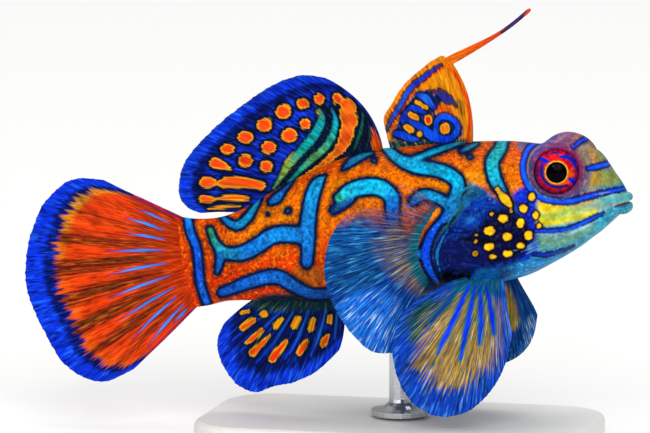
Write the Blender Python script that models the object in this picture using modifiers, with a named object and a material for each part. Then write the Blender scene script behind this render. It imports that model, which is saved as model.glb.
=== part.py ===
"""Mandarinfish, Synchiropus splendidus: a still, life-size museum model on a small display stand.

The nose points along +X, the back is up, along +Z, and the side shown in the photograph is -Y.
The origin is the middle of the underside of the stand's base. Sizes below are in millimetres.
"""
import math

import bmesh
import bpy
from mathutils import Vector

MM = 0.001

# Gap that two touching pieces keep between them
GAP = 0.3

# Body: place along the fish, height of the back and of the belly, and half width there
NOSE_X = 26.4
BODY_LENGTH = 54.0
BODY_STATIONS = (
    (-27.4, 25.3, 14.0, 0.8),
    (-23.0, 24.5, 14.7, 1.3),
    (-19.5, 25.1, 15.4, 2.3),
    (-11.5, 29.7, 15.7, 4.5),
    (-4.6, 32.6, 15.8, 6.0),
    (3.5, 33.9, 17.1, 6.8),
    (11.5, 34.5, 18.8, 6.9),
    (15.0, 34.4, 19.8, 6.4),
    (18.0, 33.9, 21.4, 5.6),
    (20.7, 33.8, 23.0, 4.7),
    (23.0, 33.2, 24.8, 3.6),
    (24.3, 31.8, 26.0, 2.8),
    (25.3, 30.5, 26.8, 2.2),
    (26.4, 29.2, 27.4, 1.6),
)
WIDEST_AT = 0.45
UPPER_ROUNDNESS = 2.1
LOWER_ROUNDNESS = 2.5
NOSE_ROUNDING = 1.5
RING_CROWDING = 1.6
BODY_RINGS = 48
BODY_SIDES = 36

# Where the body is parted into head, trunk and tail stalk, and where the stalk ends
HEAD_BACK_X = 8.8
STALK_FRONT_X = -18.0
STALK_END = (-24.3, 20.0)
STALK_END_TILT = math.radians(10)

# Eyes: balls in raised orbits, high on the head and close together
EYE_AT = (18.5, 3.2, 31.95)
EYE_AXIS = (0.24, 0.95, 0.03)
ORBIT_RADIUS = 3.4
ORBIT_SHOULDER = 2.0
EYE_RADIUS = 2.75
EYE_STANDS_OUT = 0.62

# Mouth: a small slit between two thick lips, each given by its lift off the slit and its radius
MOUTH_CORNER = (24.8, 27.95)
MOUTH_FRONT = (26.6, 28.3)
MOUTH_HALF_WIDTH = 1.85
MOUTH_GAP = 0.25
UPPER_LIP = (0.52, 0.62)
LOWER_LIP = (-0.66, 0.74)
NOSTRIL_AT = (23.3, 31.4)
NOSTRIL_RADIUS = 0.28
GILL_PORE_AT = (9.65, 29.4)
GILL_PORE_SIZE = (0.5, 0.4, 0.36)

# Fins: membrane between rays that stand proud of it on both faces
MEMBRANE = 0.5
RAY_AT_ROOT = 1.0
RAY_AT_TIP = 0.75
ROOT_SINK = 1.2
MARGIN_NOTCH = 0.015

# Fleshy lobe that each paired fin and the tail fin grow from: how much thicker, and how far up the fin
LOBE_THICK = 0.7
LOBE_REACH = 0.16

# Pectoral fin: the line of its base along the flank, and how deep in the flesh that lies
PECTORAL_BASE = ((6.1, 27.5), (4.8, 25.4), (4.1, 23.2), (4.1, 21.3), (4.8, 19.5))
PECTORAL_SINK = 0.6

# Far pelvic fin: what hangs below a height swings this far forwards and up for each millimetre
FAR_SWING_Z = 17.5
FAR_SWING = (0.12, 0.16)

# First dorsal fin: where its tip is cut square for the filament, and which way that cut faces
SAIL_TIP = (5.2, 0.0, 43.25)
SAIL_TIP_FACES = (0.45, 0.0, 0.9)

# Display stand
BASE_SIZE = (44.0, 24.0, 3.0)
BASE_CORNER = 6.0
BASE_EDGE = 0.6
ROD_X = 6.0
ROD_RADIUS = 1.2
FOOT_RADIUS = 3.2
FOOT_HEIGHT = 1.8
ROD_TOP_Z = 20.0

COLOURS = {
    "orange skin": ("#E8760E", 0.42, 0.0),
    "blue skin": ("#0E7FC4", 0.38, 0.0),
    "blue fin": ("#1450D8", 0.40, 0.0),
    "orange fin": ("#F0600A", 0.42, 0.0),
    "red eye": ("#C81432", 0.10, 0.0),
    "satin board": ("#E4E2DC", 0.45, 0.0),
    "steel rod": ("#B9BDC1", 0.28, 1.0),
}


def srgb_to_linear(hex_colour):
    """The linear RGBA colour of a hex code."""
    channels = [int(hex_colour[i:i + 2], 16) / 255 for i in (1, 3, 5)]
    linear = [c / 12.92 if c <= 0.04045 else ((c + 0.055) / 1.055) ** 2.4 for c in channels]
    return (*linear, 1.0)


def material(name):
    """The Principled material of that name, made once."""
    found = bpy.data.materials.get(name)
    if found:
        return found
    colour, roughness, metallic = COLOURS[name]
    made = bpy.data.materials.new(name)
    made.use_nodes = True
    shader = made.node_tree.nodes["Principled BSDF"]
    shader.inputs["Base Color"].default_value = srgb_to_linear(colour)
    shader.inputs["Roughness"].default_value = roughness
    shader.inputs["Metallic"].default_value = metallic
    return made


def smooth_path(knots, at):
    """The value at a place on a smooth curve through knots of (place, value, value, ...)."""
    last = len(knots) - 2
    index = 0
    while index < last and at > knots[index + 1][0]:
        index += 1
    before = knots[max(index - 1, 0)]
    start, end = knots[index], knots[index + 1]
    after = knots[min(index + 2, len(knots) - 1)]
    span = end[0] - start[0]
    t = min(max((at - start[0]) / span, 0.0), 1.0)
    values = []
    for k in range(1, len(start)):
        slope_in = (end[k] - before[k]) / (end[0] - before[0]) * span
        slope_out = (after[k] - start[k]) / (after[0] - start[0]) * span
        values.append(
            (2 * t ** 3 - 3 * t ** 2 + 1) * start[k]
            + (t ** 3 - 2 * t ** 2 + t) * slope_in
            + (3 * t ** 2 - 2 * t ** 3) * end[k]
            + (t ** 3 - t ** 2) * slope_out
        )
    return values


def body_section(x):
    """Height of the back, of the belly and of the widest line, and the half width at x."""
    back, belly, half_width = smooth_path(BODY_STATIONS, x)
    widest = belly + WIDEST_AT * (back - belly)
    return back, belly, widest, half_width


def flank_y(x, z):
    """Half width of the body at place x and height z."""
    back, belly, widest, half_width = body_section(x)
    upper = z > widest
    height = back - widest if upper else widest - belly
    power = UPPER_ROUNDNESS if upper else LOWER_ROUNDNESS
    share = min(abs(z - widest) / height, 0.98)
    return half_width * (1 - share ** power) ** (1 / power)


def raise_orbits(point):
    """The point pushed out, where it lies near an eye, on to the ball of the orbit."""
    side = 1 if point.y >= 0 else -1
    centre = Vector((EYE_AT[0], side * EYE_AT[1], EYE_AT[2]))
    inner = centre - Vector((0.0, side * 1.4, 1.6))
    away = point - inner
    distance = away.length
    direction = away / distance
    reach = (inner - centre).dot(direction)
    under_root = reach ** 2 - (inner - centre).length_squared + ORBIT_RADIUS ** 2
    if under_root <= 0:
        return point
    dome = -reach + math.sqrt(under_root)
    shoulder = max(ORBIT_SHOULDER - abs(dome - distance), 0.0) / ORBIT_SHOULDER
    raised = max(dome, distance) + shoulder ** 3 * ORBIT_SHOULDER / 6
    return inner + direction * raised


def body_point(unit):
    """The place on the body of a point of the unit sphere whose poles are nose and tail."""
    along = math.acos(max(-1.0, min(1.0, unit.z))) / math.pi
    x = NOSE_X - BODY_LENGTH * along ** RING_CROWDING
    back, belly, widest, half_width = body_section(x)
    ring = math.hypot(unit.x, unit.y)
    if ring < 1e-6:
        return Vector((x, 0.0, widest))
    across, up = -unit.y / ring, unit.x / ring
    power = UPPER_ROUNDNESS if up > 0 else LOWER_ROUNDNESS
    height = back - widest if up > 0 else widest - belly
    depth = min((NOSE_X - x) / NOSE_ROUNDING, 1.0)
    closing = math.sqrt(1 - (1 - depth) ** 2)
    y = closing * half_width * math.copysign(abs(across) ** (2 / power), across)
    z = widest + closing * height * math.copysign(abs(up) ** (2 / power), up)
    return raise_orbits(Vector((x, y, z)))


def new_object(name, mesh, collection, material_name=None):
    """An object for the mesh, in the collection."""
    made = bpy.data.objects.new(name, mesh)
    collection.objects.link(made)
    if material_name:
        mesh.materials.append(material(material_name))
    return made


def mesh_from(bm, name):
    """A mesh from the bmesh, scaled from millimetres to metres, with its faces pointing out."""
    bmesh.ops.scale(bm, vec=(MM, MM, MM), verts=bm.verts)
    bmesh.ops.recalc_face_normals(bm, faces=bm.faces)
    mesh = bpy.data.meshes.new(name)
    bm.to_mesh(mesh)
    bm.free()
    mesh.shade_smooth()
    return mesh


def as_cutter(name, mesh):
    """A cutter object, which isn't one of the parts."""
    cutter = new_object(name, mesh, cutters)
    cutter.hide_render = True
    cutter.display_type = "WIRE"
    return cutter


def combine(target, tool, operation):
    """The target joined to, or cut by, another object or a collection of them, applied."""
    boolean = target.modifiers.new(operation.lower(), "BOOLEAN")
    boolean.operation = operation
    boolean.solver = "EXACT"
    if isinstance(tool, bpy.types.Collection):
        boolean.operand_type = "COLLECTION"
        boolean.collection = tool
    else:
        boolean.object = tool
    apply_modifiers(target)


def apply_modifiers(target):
    """The target's mesh replaced by what its modifiers make of it."""
    graph = bpy.context.evaluated_depsgraph_get()
    shaped = bpy.data.meshes.new_from_object(target.evaluated_get(graph))
    target.modifiers.clear()
    target.data = shaped


def keep_largest(target):
    """Only the largest closed surface of the target's mesh is kept."""
    bm = bmesh.new()
    bm.from_mesh(target.data)
    left = set(bm.verts)
    pieces = []
    while left:
        piece, front = set(), [left.pop()]
        while front:
            vert = front.pop()
            piece.add(vert)
            for edge in vert.link_edges:
                other = edge.other_vert(vert)
                if other in left:
                    left.remove(other)
                    front.append(other)
        pieces.append(piece)
    pieces.sort(key=len)
    loose = [vert for piece in pieces[:-1] for vert in piece]
    bmesh.ops.delete(bm, geom=loose, context="VERTS")
    bm.to_mesh(target.data)
    bm.free()


def whole_body(swollen=0.0):
    """The mesh of the whole body, from nose to tail, grown by some millimetres all round."""
    bm = bmesh.new()
    bmesh.ops.create_uvsphere(bm, u_segments=BODY_SIDES, v_segments=BODY_RINGS, radius=1.0)
    for vert in bm.verts:
        vert.co = body_point(vert.co)
    bm.normal_update()
    for vert in bm.verts:
        vert.co += vert.normal * swollen
    return bm


def part_off(bm, at, outwards):
    """Cut the mesh off at a plane and cap it, keeping what lies behind the plane."""
    geometry = bm.verts[:] + bm.edges[:] + bm.faces[:]
    cut = bmesh.ops.bisect_plane(bm, geom=geometry, plane_co=at, plane_no=outwards, clear_outer=True)
    edges = [item for item in cut["geom_cut"] if isinstance(item, bmesh.types.BMEdge)]
    bmesh.ops.contextual_create(bm, geom=edges)


def stalk_end(offset=0.0):
    """A point on the tail stalk's tilted end and the way it faces, moved out by the offset."""
    facing = Vector((-math.cos(STALK_END_TILT), 0.0, -math.sin(STALK_END_TILT)))
    return Vector((STALK_END[0], 0.0, STALK_END[1])) + facing * offset, facing


def ball(radius, at, segments=20, rings=12, stretch=(1, 1, 1)):
    """A closed ball, stretched along the axes where wanted."""
    bm = bmesh.new()
    bmesh.ops.create_uvsphere(bm, u_segments=segments, v_segments=rings, radius=radius)
    bmesh.ops.scale(bm, vec=stretch, verts=bm.verts)
    bmesh.ops.translate(bm, vec=at, verts=bm.verts)
    return bm


def eye_centre(side, stands_out=EYE_STANDS_OUT):
    """The middle of the eyeball, which sits a little further out than its orbit's middle."""
    axis = Vector((EYE_AXIS[0], side * EYE_AXIS[1], EYE_AXIS[2])).normalized()
    return Vector((EYE_AT[0], side * EYE_AT[1], EYE_AT[2])) + axis * stands_out


def tube(name, points, radii, collection, material_name=None):
    """A closed round tube through the points, as a mesh object."""
    curve = bpy.data.curves.new(name, "CURVE")
    curve.dimensions = "3D"
    curve.bevel_depth = MM
    curve.bevel_resolution = 2
    curve.use_fill_caps = True
    spline = curve.splines.new("POLY")
    spline.points.add(len(points) - 1)
    for knot, point, radius in zip(spline.points, points, radii):
        knot.co = (*(Vector(point) * MM), 1.0)
        knot.radius = radius
    drawn = bpy.data.objects.new(name + "_line", curve)
    collection.objects.link(drawn)
    graph = bpy.context.evaluated_depsgraph_get()
    mesh = bpy.data.meshes.new_from_object(drawn.evaluated_get(graph))
    mesh.materials.clear()
    matrix = drawn.matrix_world.copy()
    bpy.data.objects.remove(drawn)
    bm = bmesh.new()
    bm.from_mesh(mesh)
    bmesh.ops.remove_doubles(bm, verts=bm.verts, dist=0.001 * MM)
    bmesh.ops.recalc_face_normals(bm, faces=bm.faces)
    bm.to_mesh(mesh)
    bm.free()
    made = new_object(name, mesh, collection, material_name)
    made.matrix_world = matrix
    return made


def make_lips():
    """The two lips, as bent rolls round the mouth slit."""
    pieces = bpy.data.collections.new("lips")
    bpy.context.scene.collection.children.link(pieces)
    steps = 14
    for name, (lift, radius) in (("upper_lip", UPPER_LIP), ("lower_lip", LOWER_LIP)):
        points, radii = [], []
        for step in range(steps + 1):
            turn = math.pi * (step / steps - 0.5)
            forward = math.cos(turn)
            x = MOUTH_CORNER[0] + (MOUTH_FRONT[0] - MOUTH_CORNER[0] - radius) * forward
            z = MOUTH_CORNER[1] + (MOUTH_FRONT[1] - MOUTH_CORNER[1]) * forward
            y = MOUTH_HALF_WIDTH * math.sin(turn)
            points.append((x, y, z + lift * (0.45 + 0.55 * forward)))
            radii.append(radius * (0.7 + 0.3 * forward))
        tube(name, points, radii, pieces)
    return pieces


def remove_collection(collection):
    """A collection and all its objects removed."""
    for piece in list(collection.objects):
        bpy.data.objects.remove(piece)
    bpy.data.collections.remove(collection)


def press_in(body, name, at, radius, stretch=(1, 1, 1)):
    """A small opening pressed into both flanks of a piece of the body at a place (x, z)."""
    x, z = at
    for side, word in ((-1, "_right"), (1, "_left")):
        opening = ball(radius, (x, side * flank_y(x, z), z), 12, 8, stretch)
        combine(body, as_cutter(name + word, mesh_from(opening, name + word)), "DIFFERENCE")


def make_head():
    """The head, with raised orbits, lips, mouth slit, nostrils, and the small gill pore behind."""
    bm = whole_body()
    part_off(bm, (HEAD_BACK_X, 0, 0), (-1, 0, 0))
    head = new_object("head", mesh_from(bm, "head"), parts, "orange skin")
    lips = make_lips()
    combine(head, lips, "UNION")
    remove_collection(lips)
    slit = bmesh.new()
    bmesh.ops.create_cube(slit, size=1.0)
    run = Vector((MOUTH_FRONT[0] - MOUTH_CORNER[0], 0, MOUTH_FRONT[1] - MOUTH_CORNER[1]))
    width = 4 * MOUTH_HALF_WIDTH
    bmesh.ops.scale(slit, vec=(2 * run.length, width, MOUTH_GAP), verts=slit.verts)
    bmesh.ops.rotate(slit, matrix=run.to_track_quat("X", "Z").to_matrix(), verts=slit.verts)
    middle = Vector((MOUTH_CORNER[0], 0, MOUTH_CORNER[1])) + run
    bmesh.ops.translate(slit, vec=middle, verts=slit.verts)
    combine(head, as_cutter("mouth_cutter", mesh_from(slit, "mouth_cutter")), "DIFFERENCE")
    for side, word in ((-1, "right"), (1, "left")):
        socket = ball(EYE_RADIUS + GAP, eye_centre(side), 24, 14)
        cutter = as_cutter("socket_cutter_" + word, mesh_from(socket, "socket_cutter"))
        combine(head, cutter, "DIFFERENCE")
    press_in(head, "nostril_cutter", NOSTRIL_AT, NOSTRIL_RADIUS)
    press_in(head, "pore_cutter", GILL_PORE_AT, 1.0, GILL_PORE_SIZE)
    keep_largest(head)


def make_trunk():
    """The trunk, between the head and the tail stalk."""
    bm = whole_body()
    part_off(bm, (HEAD_BACK_X - GAP, 0, 0), (1, 0, 0))
    part_off(bm, (STALK_FRONT_X, 0, 0), (-1, 0, 0))
    new_object("trunk", mesh_from(bm, "trunk"), parts, "orange skin")


def make_tail_stalk():
    """The stalk between trunk and tail fin, cut off on a slant where the fin begins."""
    bm = whole_body()
    part_off(bm, (STALK_FRONT_X - GAP, 0, 0), (1, 0, 0))
    part_off(bm, *stalk_end())
    new_object("tail_stalk", mesh_from(bm, "tail_stalk"), parts, "orange skin")


def make_eyes():
    """The two eyeballs."""
    for side, name in ((-1, "eye_right"), (1, "eye_left")):
        eyeball = ball(EYE_RADIUS, eye_centre(side))
        new_object(name, mesh_from(eyeball, name), parts, "red eye")


def bowed(start, bow, end, t):
    """A place on the arc from start to end that is pulled towards the bow point."""
    return start * (1 - t) ** 2 + bow * 2 * t * (1 - t) + end * t ** 2


def fin(name, rays, rows, root, margin, bows, material_name, lobe=0.0):
    """A fan-shaped fin: a triangulated sheet, thickened, with its rays as ridges on both faces.

    root(s) and margin(s) give the places where the ray at share s of the fin starts and ends,
    bows holds the points that pull the first and last ray out of line, and lobe is how much
    thicker the fleshy root is.
    """
    columns = 2 * rays - 1
    thickest = RAY_AT_ROOT + lobe
    bm = bmesh.new()
    bmesh.ops.create_grid(bm, x_segments=columns - 1, y_segments=rows, size=0.5)
    layer = bm.verts.layers.deform.verify()
    for vert in bm.verts:
        s, h = vert.co.x + 0.5, vert.co.y + 0.5
        between = round(s * (columns - 1)) % 2
        start, end = root(s), margin(s)
        straight = (start + end) / 2
        pull = (bows[0] - (root(0) + margin(0)) / 2) * (1 - s) ** 2
        pull += (bows[1] - (root(1) + margin(1)) / 2) * s ** 2
        reach = h * (1 - MARGIN_NOTCH * between * h)
        vert.co = bowed(start, straight + pull, end, reach)
        ray = RAY_AT_ROOT + (RAY_AT_TIP - RAY_AT_ROOT) * h
        flesh = lobe * max(1 - h / LOBE_REACH, 0.0)
        vert[layer][0] = ((MEMBRANE if between else ray) + flesh) / thickest
    bmesh.ops.triangulate(bm, faces=bm.faces)
    made = new_object(name, mesh_from(bm, name), parts, material_name)
    made.vertex_groups.new(name="thickness")
    thicken = made.modifiers.new("thickness", "SOLIDIFY")
    thicken.thickness = thickest * MM
    thicken.offset = 0.0
    thicken.vertex_group = "thickness"
    apply_modifiers(made)
    return made


def path(points):
    """A function that gives the place at share s of a smooth path through evenly counted points."""
    count = len(points) - 1
    knots = [(i / count, *point) for i, point in enumerate(points)]
    return lambda s: Vector(smooth_path(knots, s))


def lean(outline, wave):
    """A path of (x, z) points given its y by a function of the share along it."""
    line = path(outline)

    def placed(s):
        x, z = line(s)
        return Vector((x, wave(s), z))

    return placed


def cut_square(made, at, outwards):
    """The piece cut off and capped at a plane, keeping what lies behind the plane."""
    bm = bmesh.new()
    bm.from_mesh(made.data)
    part_off(bm, Vector(at) * MM, outwards)
    bmesh.ops.recalc_face_normals(bm, faces=bm.faces)
    bm.to_mesh(made.data)
    bm.free()
    keep_largest(made)


def mirrored(source, name, swing=(0.0, 0.0)):
    """A copy of the piece for the fish's other side, its free part swung forwards and up."""
    bm = bmesh.new()
    bm.from_mesh(source.data)
    bmesh.ops.scale(bm, vec=(1, -1, 1), verts=bm.verts)
    bmesh.ops.reverse_faces(bm, faces=bm.faces)
    for vert in bm.verts:
        below = max(FAR_SWING_Z * MM - vert.co.z, 0.0)
        vert.co.x += swing[0] * below
        vert.co.z += swing[1] * below
    mesh = bpy.data.meshes.new(name)
    bm.to_mesh(mesh)
    bm.free()
    new_object(name, mesh, parts, source.data.materials[0].name)


def trim_root(made):
    """The fin's root cut back to the body's surface, less the gap."""
    combine(made, swollen_body, "DIFFERENCE")
    keep_largest(made)


def make_first_dorsal():
    """The tall sail over the shoulders and the filament in which its first spine goes on."""
    front_x, rear_x = 8.2, -0.7

    def root(s):
        x = front_x + (rear_x - front_x) * s
        return Vector((x, 0.0, body_section(x)[0] - ROOT_SINK))

    outline = ((5.9, 43.2), (4.7, 43.9), (2.5, 42.4), (0.4, 40.4), (-0.9, 38.3), (-1.8, 36.7), (-1.5, 35.0))
    margin = lean(outline, lambda s: -0.5 * math.sin(math.pi * s))
    bows = (Vector((8.8, 0, 39.4)), Vector((-1.4, 0, 34.6)))
    sail = fin("first_dorsal_fin", 4, 9, root, margin, bows, "orange fin")
    tip = Vector(SAIL_TIP)
    line = path((tip, (8.1, -0.1, 44.7), (10.6, -0.25, 46.15), (12.7, -0.4, 47.6), (15.0, -0.6, 49.55)))
    steps = 14
    points = [line(step / steps) for step in range(steps + 1)]
    points[0] = 2 * points[0] - points[1]
    radii = [0.55 - 0.18 * step / steps for step in range(steps)] + [0.2]
    filament = tube("first_dorsal_filament", points, radii, parts, "orange fin")
    facing = Vector(SAIL_TIP_FACES).normalized()
    cut_square(sail, tip, facing)
    cut_square(filament, tip + facing * GAP, -facing)
    trim_root(sail)


def make_second_dorsal():
    """The long, high fin over the rear of the back."""
    front_x, rear_x = -1.8, -16.7

    def root(s):
        x = front_x + (rear_x - front_x) * s
        return Vector((x, 0.0, body_section(x)[0] - ROOT_SINK))

    outline = (
        (-8.6, 41.0), (-11.2, 41.15), (-13.6, 40.4), (-16.0, 39.1), (-18.2, 37.5), (-20.3, 35.85),
        (-22.2, 34.1), (-23.9, 32.2), (-25.0, 30.5), (-25.4, 28.5), (-25.2, 26.9), (-24.2, 25.8),
        (-22.7, 25.3),
    )
    margin = lean(outline, lambda s: 0.9 * math.sin(5.0 * s - 0.4))
    bows = (Vector((-2.6, 0, 38.4)), Vector((-20.1, 0, 25.5)))
    trim_root(fin("second_dorsal_fin", 9, 9, root, margin, bows, "orange fin"))


def make_anal():
    """The fin under the rear of the belly."""
    front_x, rear_x = -6.8, -15.0

    def root(s):
        x = front_x + (rear_x - front_x) * s
        return Vector((x, 0.0, body_section(x)[1] + ROOT_SINK))

    outline = (
        (-7.0, 10.2), (-9.4, 7.85), (-12.0, 6.5), (-14.3, 5.95), (-16.6, 5.15),
        (-19.0, 6.15), (-20.75, 8.6), (-21.15, 10.7), (-20.5, 12.5),
    )
    margin = lean(outline, lambda s: -0.8 * math.sin(4.5 * s))
    bows = (Vector((-5.8, 0, 13.0)), Vector((-17.9, 0, 15.2)))
    trim_root(fin("anal_fin", 8, 8, root, margin, bows, "blue fin"))


def make_caudal():
    """The large rounded tail fin."""
    end, facing = stalk_end()
    along = Vector((facing.z, 0.0, -facing.x))
    rise, drop = 3.9, 4.7

    def root(s):
        return end - facing * ROOT_SINK + along * (rise - (rise + drop) * s)

    outline = (
        (-34.3, 28.5), (-38.2, 28.2), (-41.5, 25.3), (-43.2, 20.7),
        (-43.2, 16.0), (-41.2, 11.6), (-38.3, 7.3), (-34.4, 5.6), (-30.9, 7.0),
    )
    margin = lean(outline, lambda s: 1.1 * math.sin(6.5 * s))
    bows = (Vector((-29.8, 0, 26.4)), Vector((-27.5, 0, 10.3)))
    made = fin("caudal_fin", 10, 9, root, margin, bows, "orange fin", LOBE_THICK)
    at, facing = stalk_end(GAP)
    cut_square(made, at, -facing)


def make_pectorals():
    """The two broad, many-rayed fins behind the gill pores."""
    base = path(PECTORAL_BASE)

    def root(s):
        x, z = base(s)
        return Vector((x, PECTORAL_SINK - flank_y(x, z), z))

    outline = (
        (2.2, 30.75), (-1.9, 28.8), (-5.1, 25.3), (-6.1, 21.2),
        (-5.2, 17.3), (-3.3, 14.0), (-1.2, 11.8), (0.9, 11.4),
    )
    margin = lean(outline, lambda s: 1.4 * s - 8.8 - 2.4 * math.sin(math.pi * s))
    bows = (Vector((5.1, -8.0, 29.5)), Vector((2.4, -7.6, 16.8)))
    right = fin("pectoral_fin_right", 14, 7, root, margin, bows, "blue fin", LOBE_THICK)
    trim_root(right)
    mirrored(right, "pectoral_fin_left")


def make_pelvics():
    """The two large fans under the head, spread out and down."""

    def root(s):
        return Vector((10.2 + 2.2 * s, -3.4, 20.3))

    outline = (
        (2.5, 16.4), (1.4, 12.8), (1.8, 9.0), (3.5, 6.1),
        (6.4, 4.6), (9.8, 5.4), (12.3, 7.9), (13.7, 10.8), (14.3, 13.8),
    )
    margin = lean(outline, lambda s: 3.2 * s - 9.6)
    bows = (Vector((6.5, -8.3, 19.8)), Vector((13.2, -5.2, 17.6)))
    right = fin("pelvic_fin_right", 11, 9, root, margin, bows, "blue fin", LOBE_THICK)
    trim_root(right)
    mirrored(right, "pelvic_fin_left", FAR_SWING)


def make_stand():
    """A flat base with rounded corners and one turned rod that reaches up to the belly."""
    bm = bmesh.new()
    bmesh.ops.create_cube(bm, size=1.0)
    bmesh.ops.scale(bm, vec=BASE_SIZE, verts=bm.verts)
    bmesh.ops.translate(bm, vec=(0, 0, BASE_SIZE[2] / 2), verts=bm.verts)
    upright = [e for e in bm.edges if abs(e.verts[0].co.z - e.verts[1].co.z) > BASE_SIZE[2] / 2]
    bmesh.ops.bevel(bm, geom=upright, offset=BASE_CORNER, segments=7, profile=0.5, affect="EDGES")
    rim = [e for e in bm.edges if min(v.co.z for v in e.verts) > BASE_SIZE[2] - 0.01]
    bmesh.ops.bevel(bm, geom=rim, offset=BASE_EDGE, segments=2, profile=0.5, affect="EDGES")
    new_object("stand_base", mesh_from(bm, "stand_base"), parts, "satin board")

    bottom = BASE_SIZE[2] + GAP
    profile = bmesh.new()
    steps = 5
    corners = [(0.0, ROD_TOP_Z), (ROD_RADIUS, ROD_TOP_Z)]
    for step in range(steps + 1):
        turn = math.pi / 2 * step / steps
        radius = FOOT_RADIUS - (FOOT_RADIUS - ROD_RADIUS) * math.cos(turn)
        corners.append((radius, bottom + 0.6 + (FOOT_HEIGHT - 0.6) * (1 - math.sin(turn))))
    corners += [(FOOT_RADIUS, bottom), (0.0, bottom)]
    verts = [profile.verts.new((x, 0.0, z)) for x, z in corners]
    for first, second in zip(verts, verts[1:]):
        profile.edges.new((first, second))
    bmesh.ops.scale(profile, vec=(MM, MM, MM), verts=profile.verts)
    mesh = bpy.data.meshes.new("stand_rod")
    profile.to_mesh(mesh)
    profile.free()
    rod = new_object("stand_rod", mesh, parts, "steel rod")
    turned = rod.modifiers.new("turned", "SCREW")
    turned.steps = 20
    turned.render_steps = 20
    turned.use_merge_vertices = True
    turned.merge_threshold = 0.00001
    apply_modifiers(rod)
    rod.data.transform(((1, 0, 0, ROD_X * MM), (0, 1, 0, 0), (0, 0, 1, 0), (0, 0, 0, 1)))
    combine(rod, swollen_body, "DIFFERENCE")
    keep_largest(rod)


for old in list(bpy.data.objects):
    bpy.data.objects.remove(old)

parts = bpy.data.collections.new("mandarinfish")
cutters = bpy.data.collections.new("cutters")
bpy.context.scene.collection.children.link(parts)
bpy.context.scene.collection.children.link(cutters)

swollen_body = as_cutter("swollen_body", mesh_from(whole_body(GAP), "swollen_body"))
make_head()
make_trunk()
make_tail_stalk()
make_eyes()
make_first_dorsal()
make_second_dorsal()
make_anal()
make_caudal()
make_pectorals()
make_pelvics()
make_stand()
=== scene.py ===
import math

import bpy
import numpy as np
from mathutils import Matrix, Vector


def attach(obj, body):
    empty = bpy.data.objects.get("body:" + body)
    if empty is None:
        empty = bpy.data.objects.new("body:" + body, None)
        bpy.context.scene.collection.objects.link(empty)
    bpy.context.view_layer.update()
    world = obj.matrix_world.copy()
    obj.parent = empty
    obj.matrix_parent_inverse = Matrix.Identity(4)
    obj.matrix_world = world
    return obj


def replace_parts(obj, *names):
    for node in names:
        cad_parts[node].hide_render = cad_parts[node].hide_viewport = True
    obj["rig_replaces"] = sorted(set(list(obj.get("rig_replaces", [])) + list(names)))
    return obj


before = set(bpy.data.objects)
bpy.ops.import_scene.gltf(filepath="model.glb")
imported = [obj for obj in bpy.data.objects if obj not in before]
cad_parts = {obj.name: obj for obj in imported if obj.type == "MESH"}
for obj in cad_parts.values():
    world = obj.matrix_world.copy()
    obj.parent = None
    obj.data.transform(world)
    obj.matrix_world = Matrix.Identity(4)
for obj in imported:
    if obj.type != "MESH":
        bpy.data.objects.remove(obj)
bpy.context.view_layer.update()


# The studio: a wide pale paper floor under two large soft lamps and an even sky. The camera stands
# where the photograph's did, off the fish's right side, a little ahead of it and above it.
MM = 0.001
PHOTO_WIDTH, PHOTO_HEIGHT = 650, 433
PIXEL = 0.11153
FRAME_CENTRE = (-8.6, 0.0, 25.3)
AZIMUTH, ELEVATION = math.radians(14), math.radians(9)
CAMERA_DISTANCE = 1200.0
SENSOR_WIDTH = 36.0
FLOOR_WHITE = "#F7F7F6"


def linear(hex_colour):
    """The linear RGBA colour of an sRGB hex code."""
    channels = [int(hex_colour[i:i + 2], 16) / 255 for i in (1, 3, 5)]
    return (*[c / 12.92 if c <= 0.04045 else ((c + 0.055) / 1.055) ** 2.4 for c in channels], 1.0)


def add(tree, kind, sockets=(), **settings):
    """A node with its settings, and with values or links on its input sockets."""
    made = tree.nodes.new(kind)
    for name, value in settings.items():
        setattr(made, name, value)
    for name, value in dict(sockets).items():
        if isinstance(value, bpy.types.NodeSocket):
            tree.links.new(value, made.inputs[name])
        else:
            made.inputs[name].default_value = value
    return made


def new_material(name):
    """A material with an empty node tree but for its Principled shader, and that tree and shader."""
    made = bpy.data.materials.new(name)
    made.use_nodes = True
    return made, made.node_tree, made.node_tree.nodes["Principled BSDF"]


bpy.ops.object.select_all(action="DESELECT")
bpy.ops.mesh.primitive_plane_add(size=8.0)
floor = bpy.context.object
floor.name = "floor"
paper, tree, shader = new_material("matt paper")
place = add(tree, "ShaderNodeTexCoord")
fibre = add(tree, "ShaderNodeTexNoise", {"Vector": place.outputs["Object"], "Scale": 900.0, "Detail": 3.0})
bump = add(tree, "ShaderNodeBump", {"Height": fibre.outputs["Fac"], "Strength": 0.1, "Distance": 0.0001})
tree.links.new(bump.outputs["Normal"], shader.inputs["Normal"])
shader.inputs["Base Color"].default_value = linear(FLOOR_WHITE)
shader.inputs["Roughness"].default_value = 0.9
shader.inputs["Specular IOR Level"].default_value = 0.1
floor.data.materials.append(paper)

world = bpy.data.worlds.new("even sky")
world.use_nodes = True
world.node_tree.nodes["Background"].inputs["Color"].default_value = linear("#FFFFFF")
world.node_tree.nodes["Background"].inputs["Strength"].default_value = 0.34
bpy.context.scene.world = world
bpy.context.scene.view_settings.view_transform = "Standard"

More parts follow.
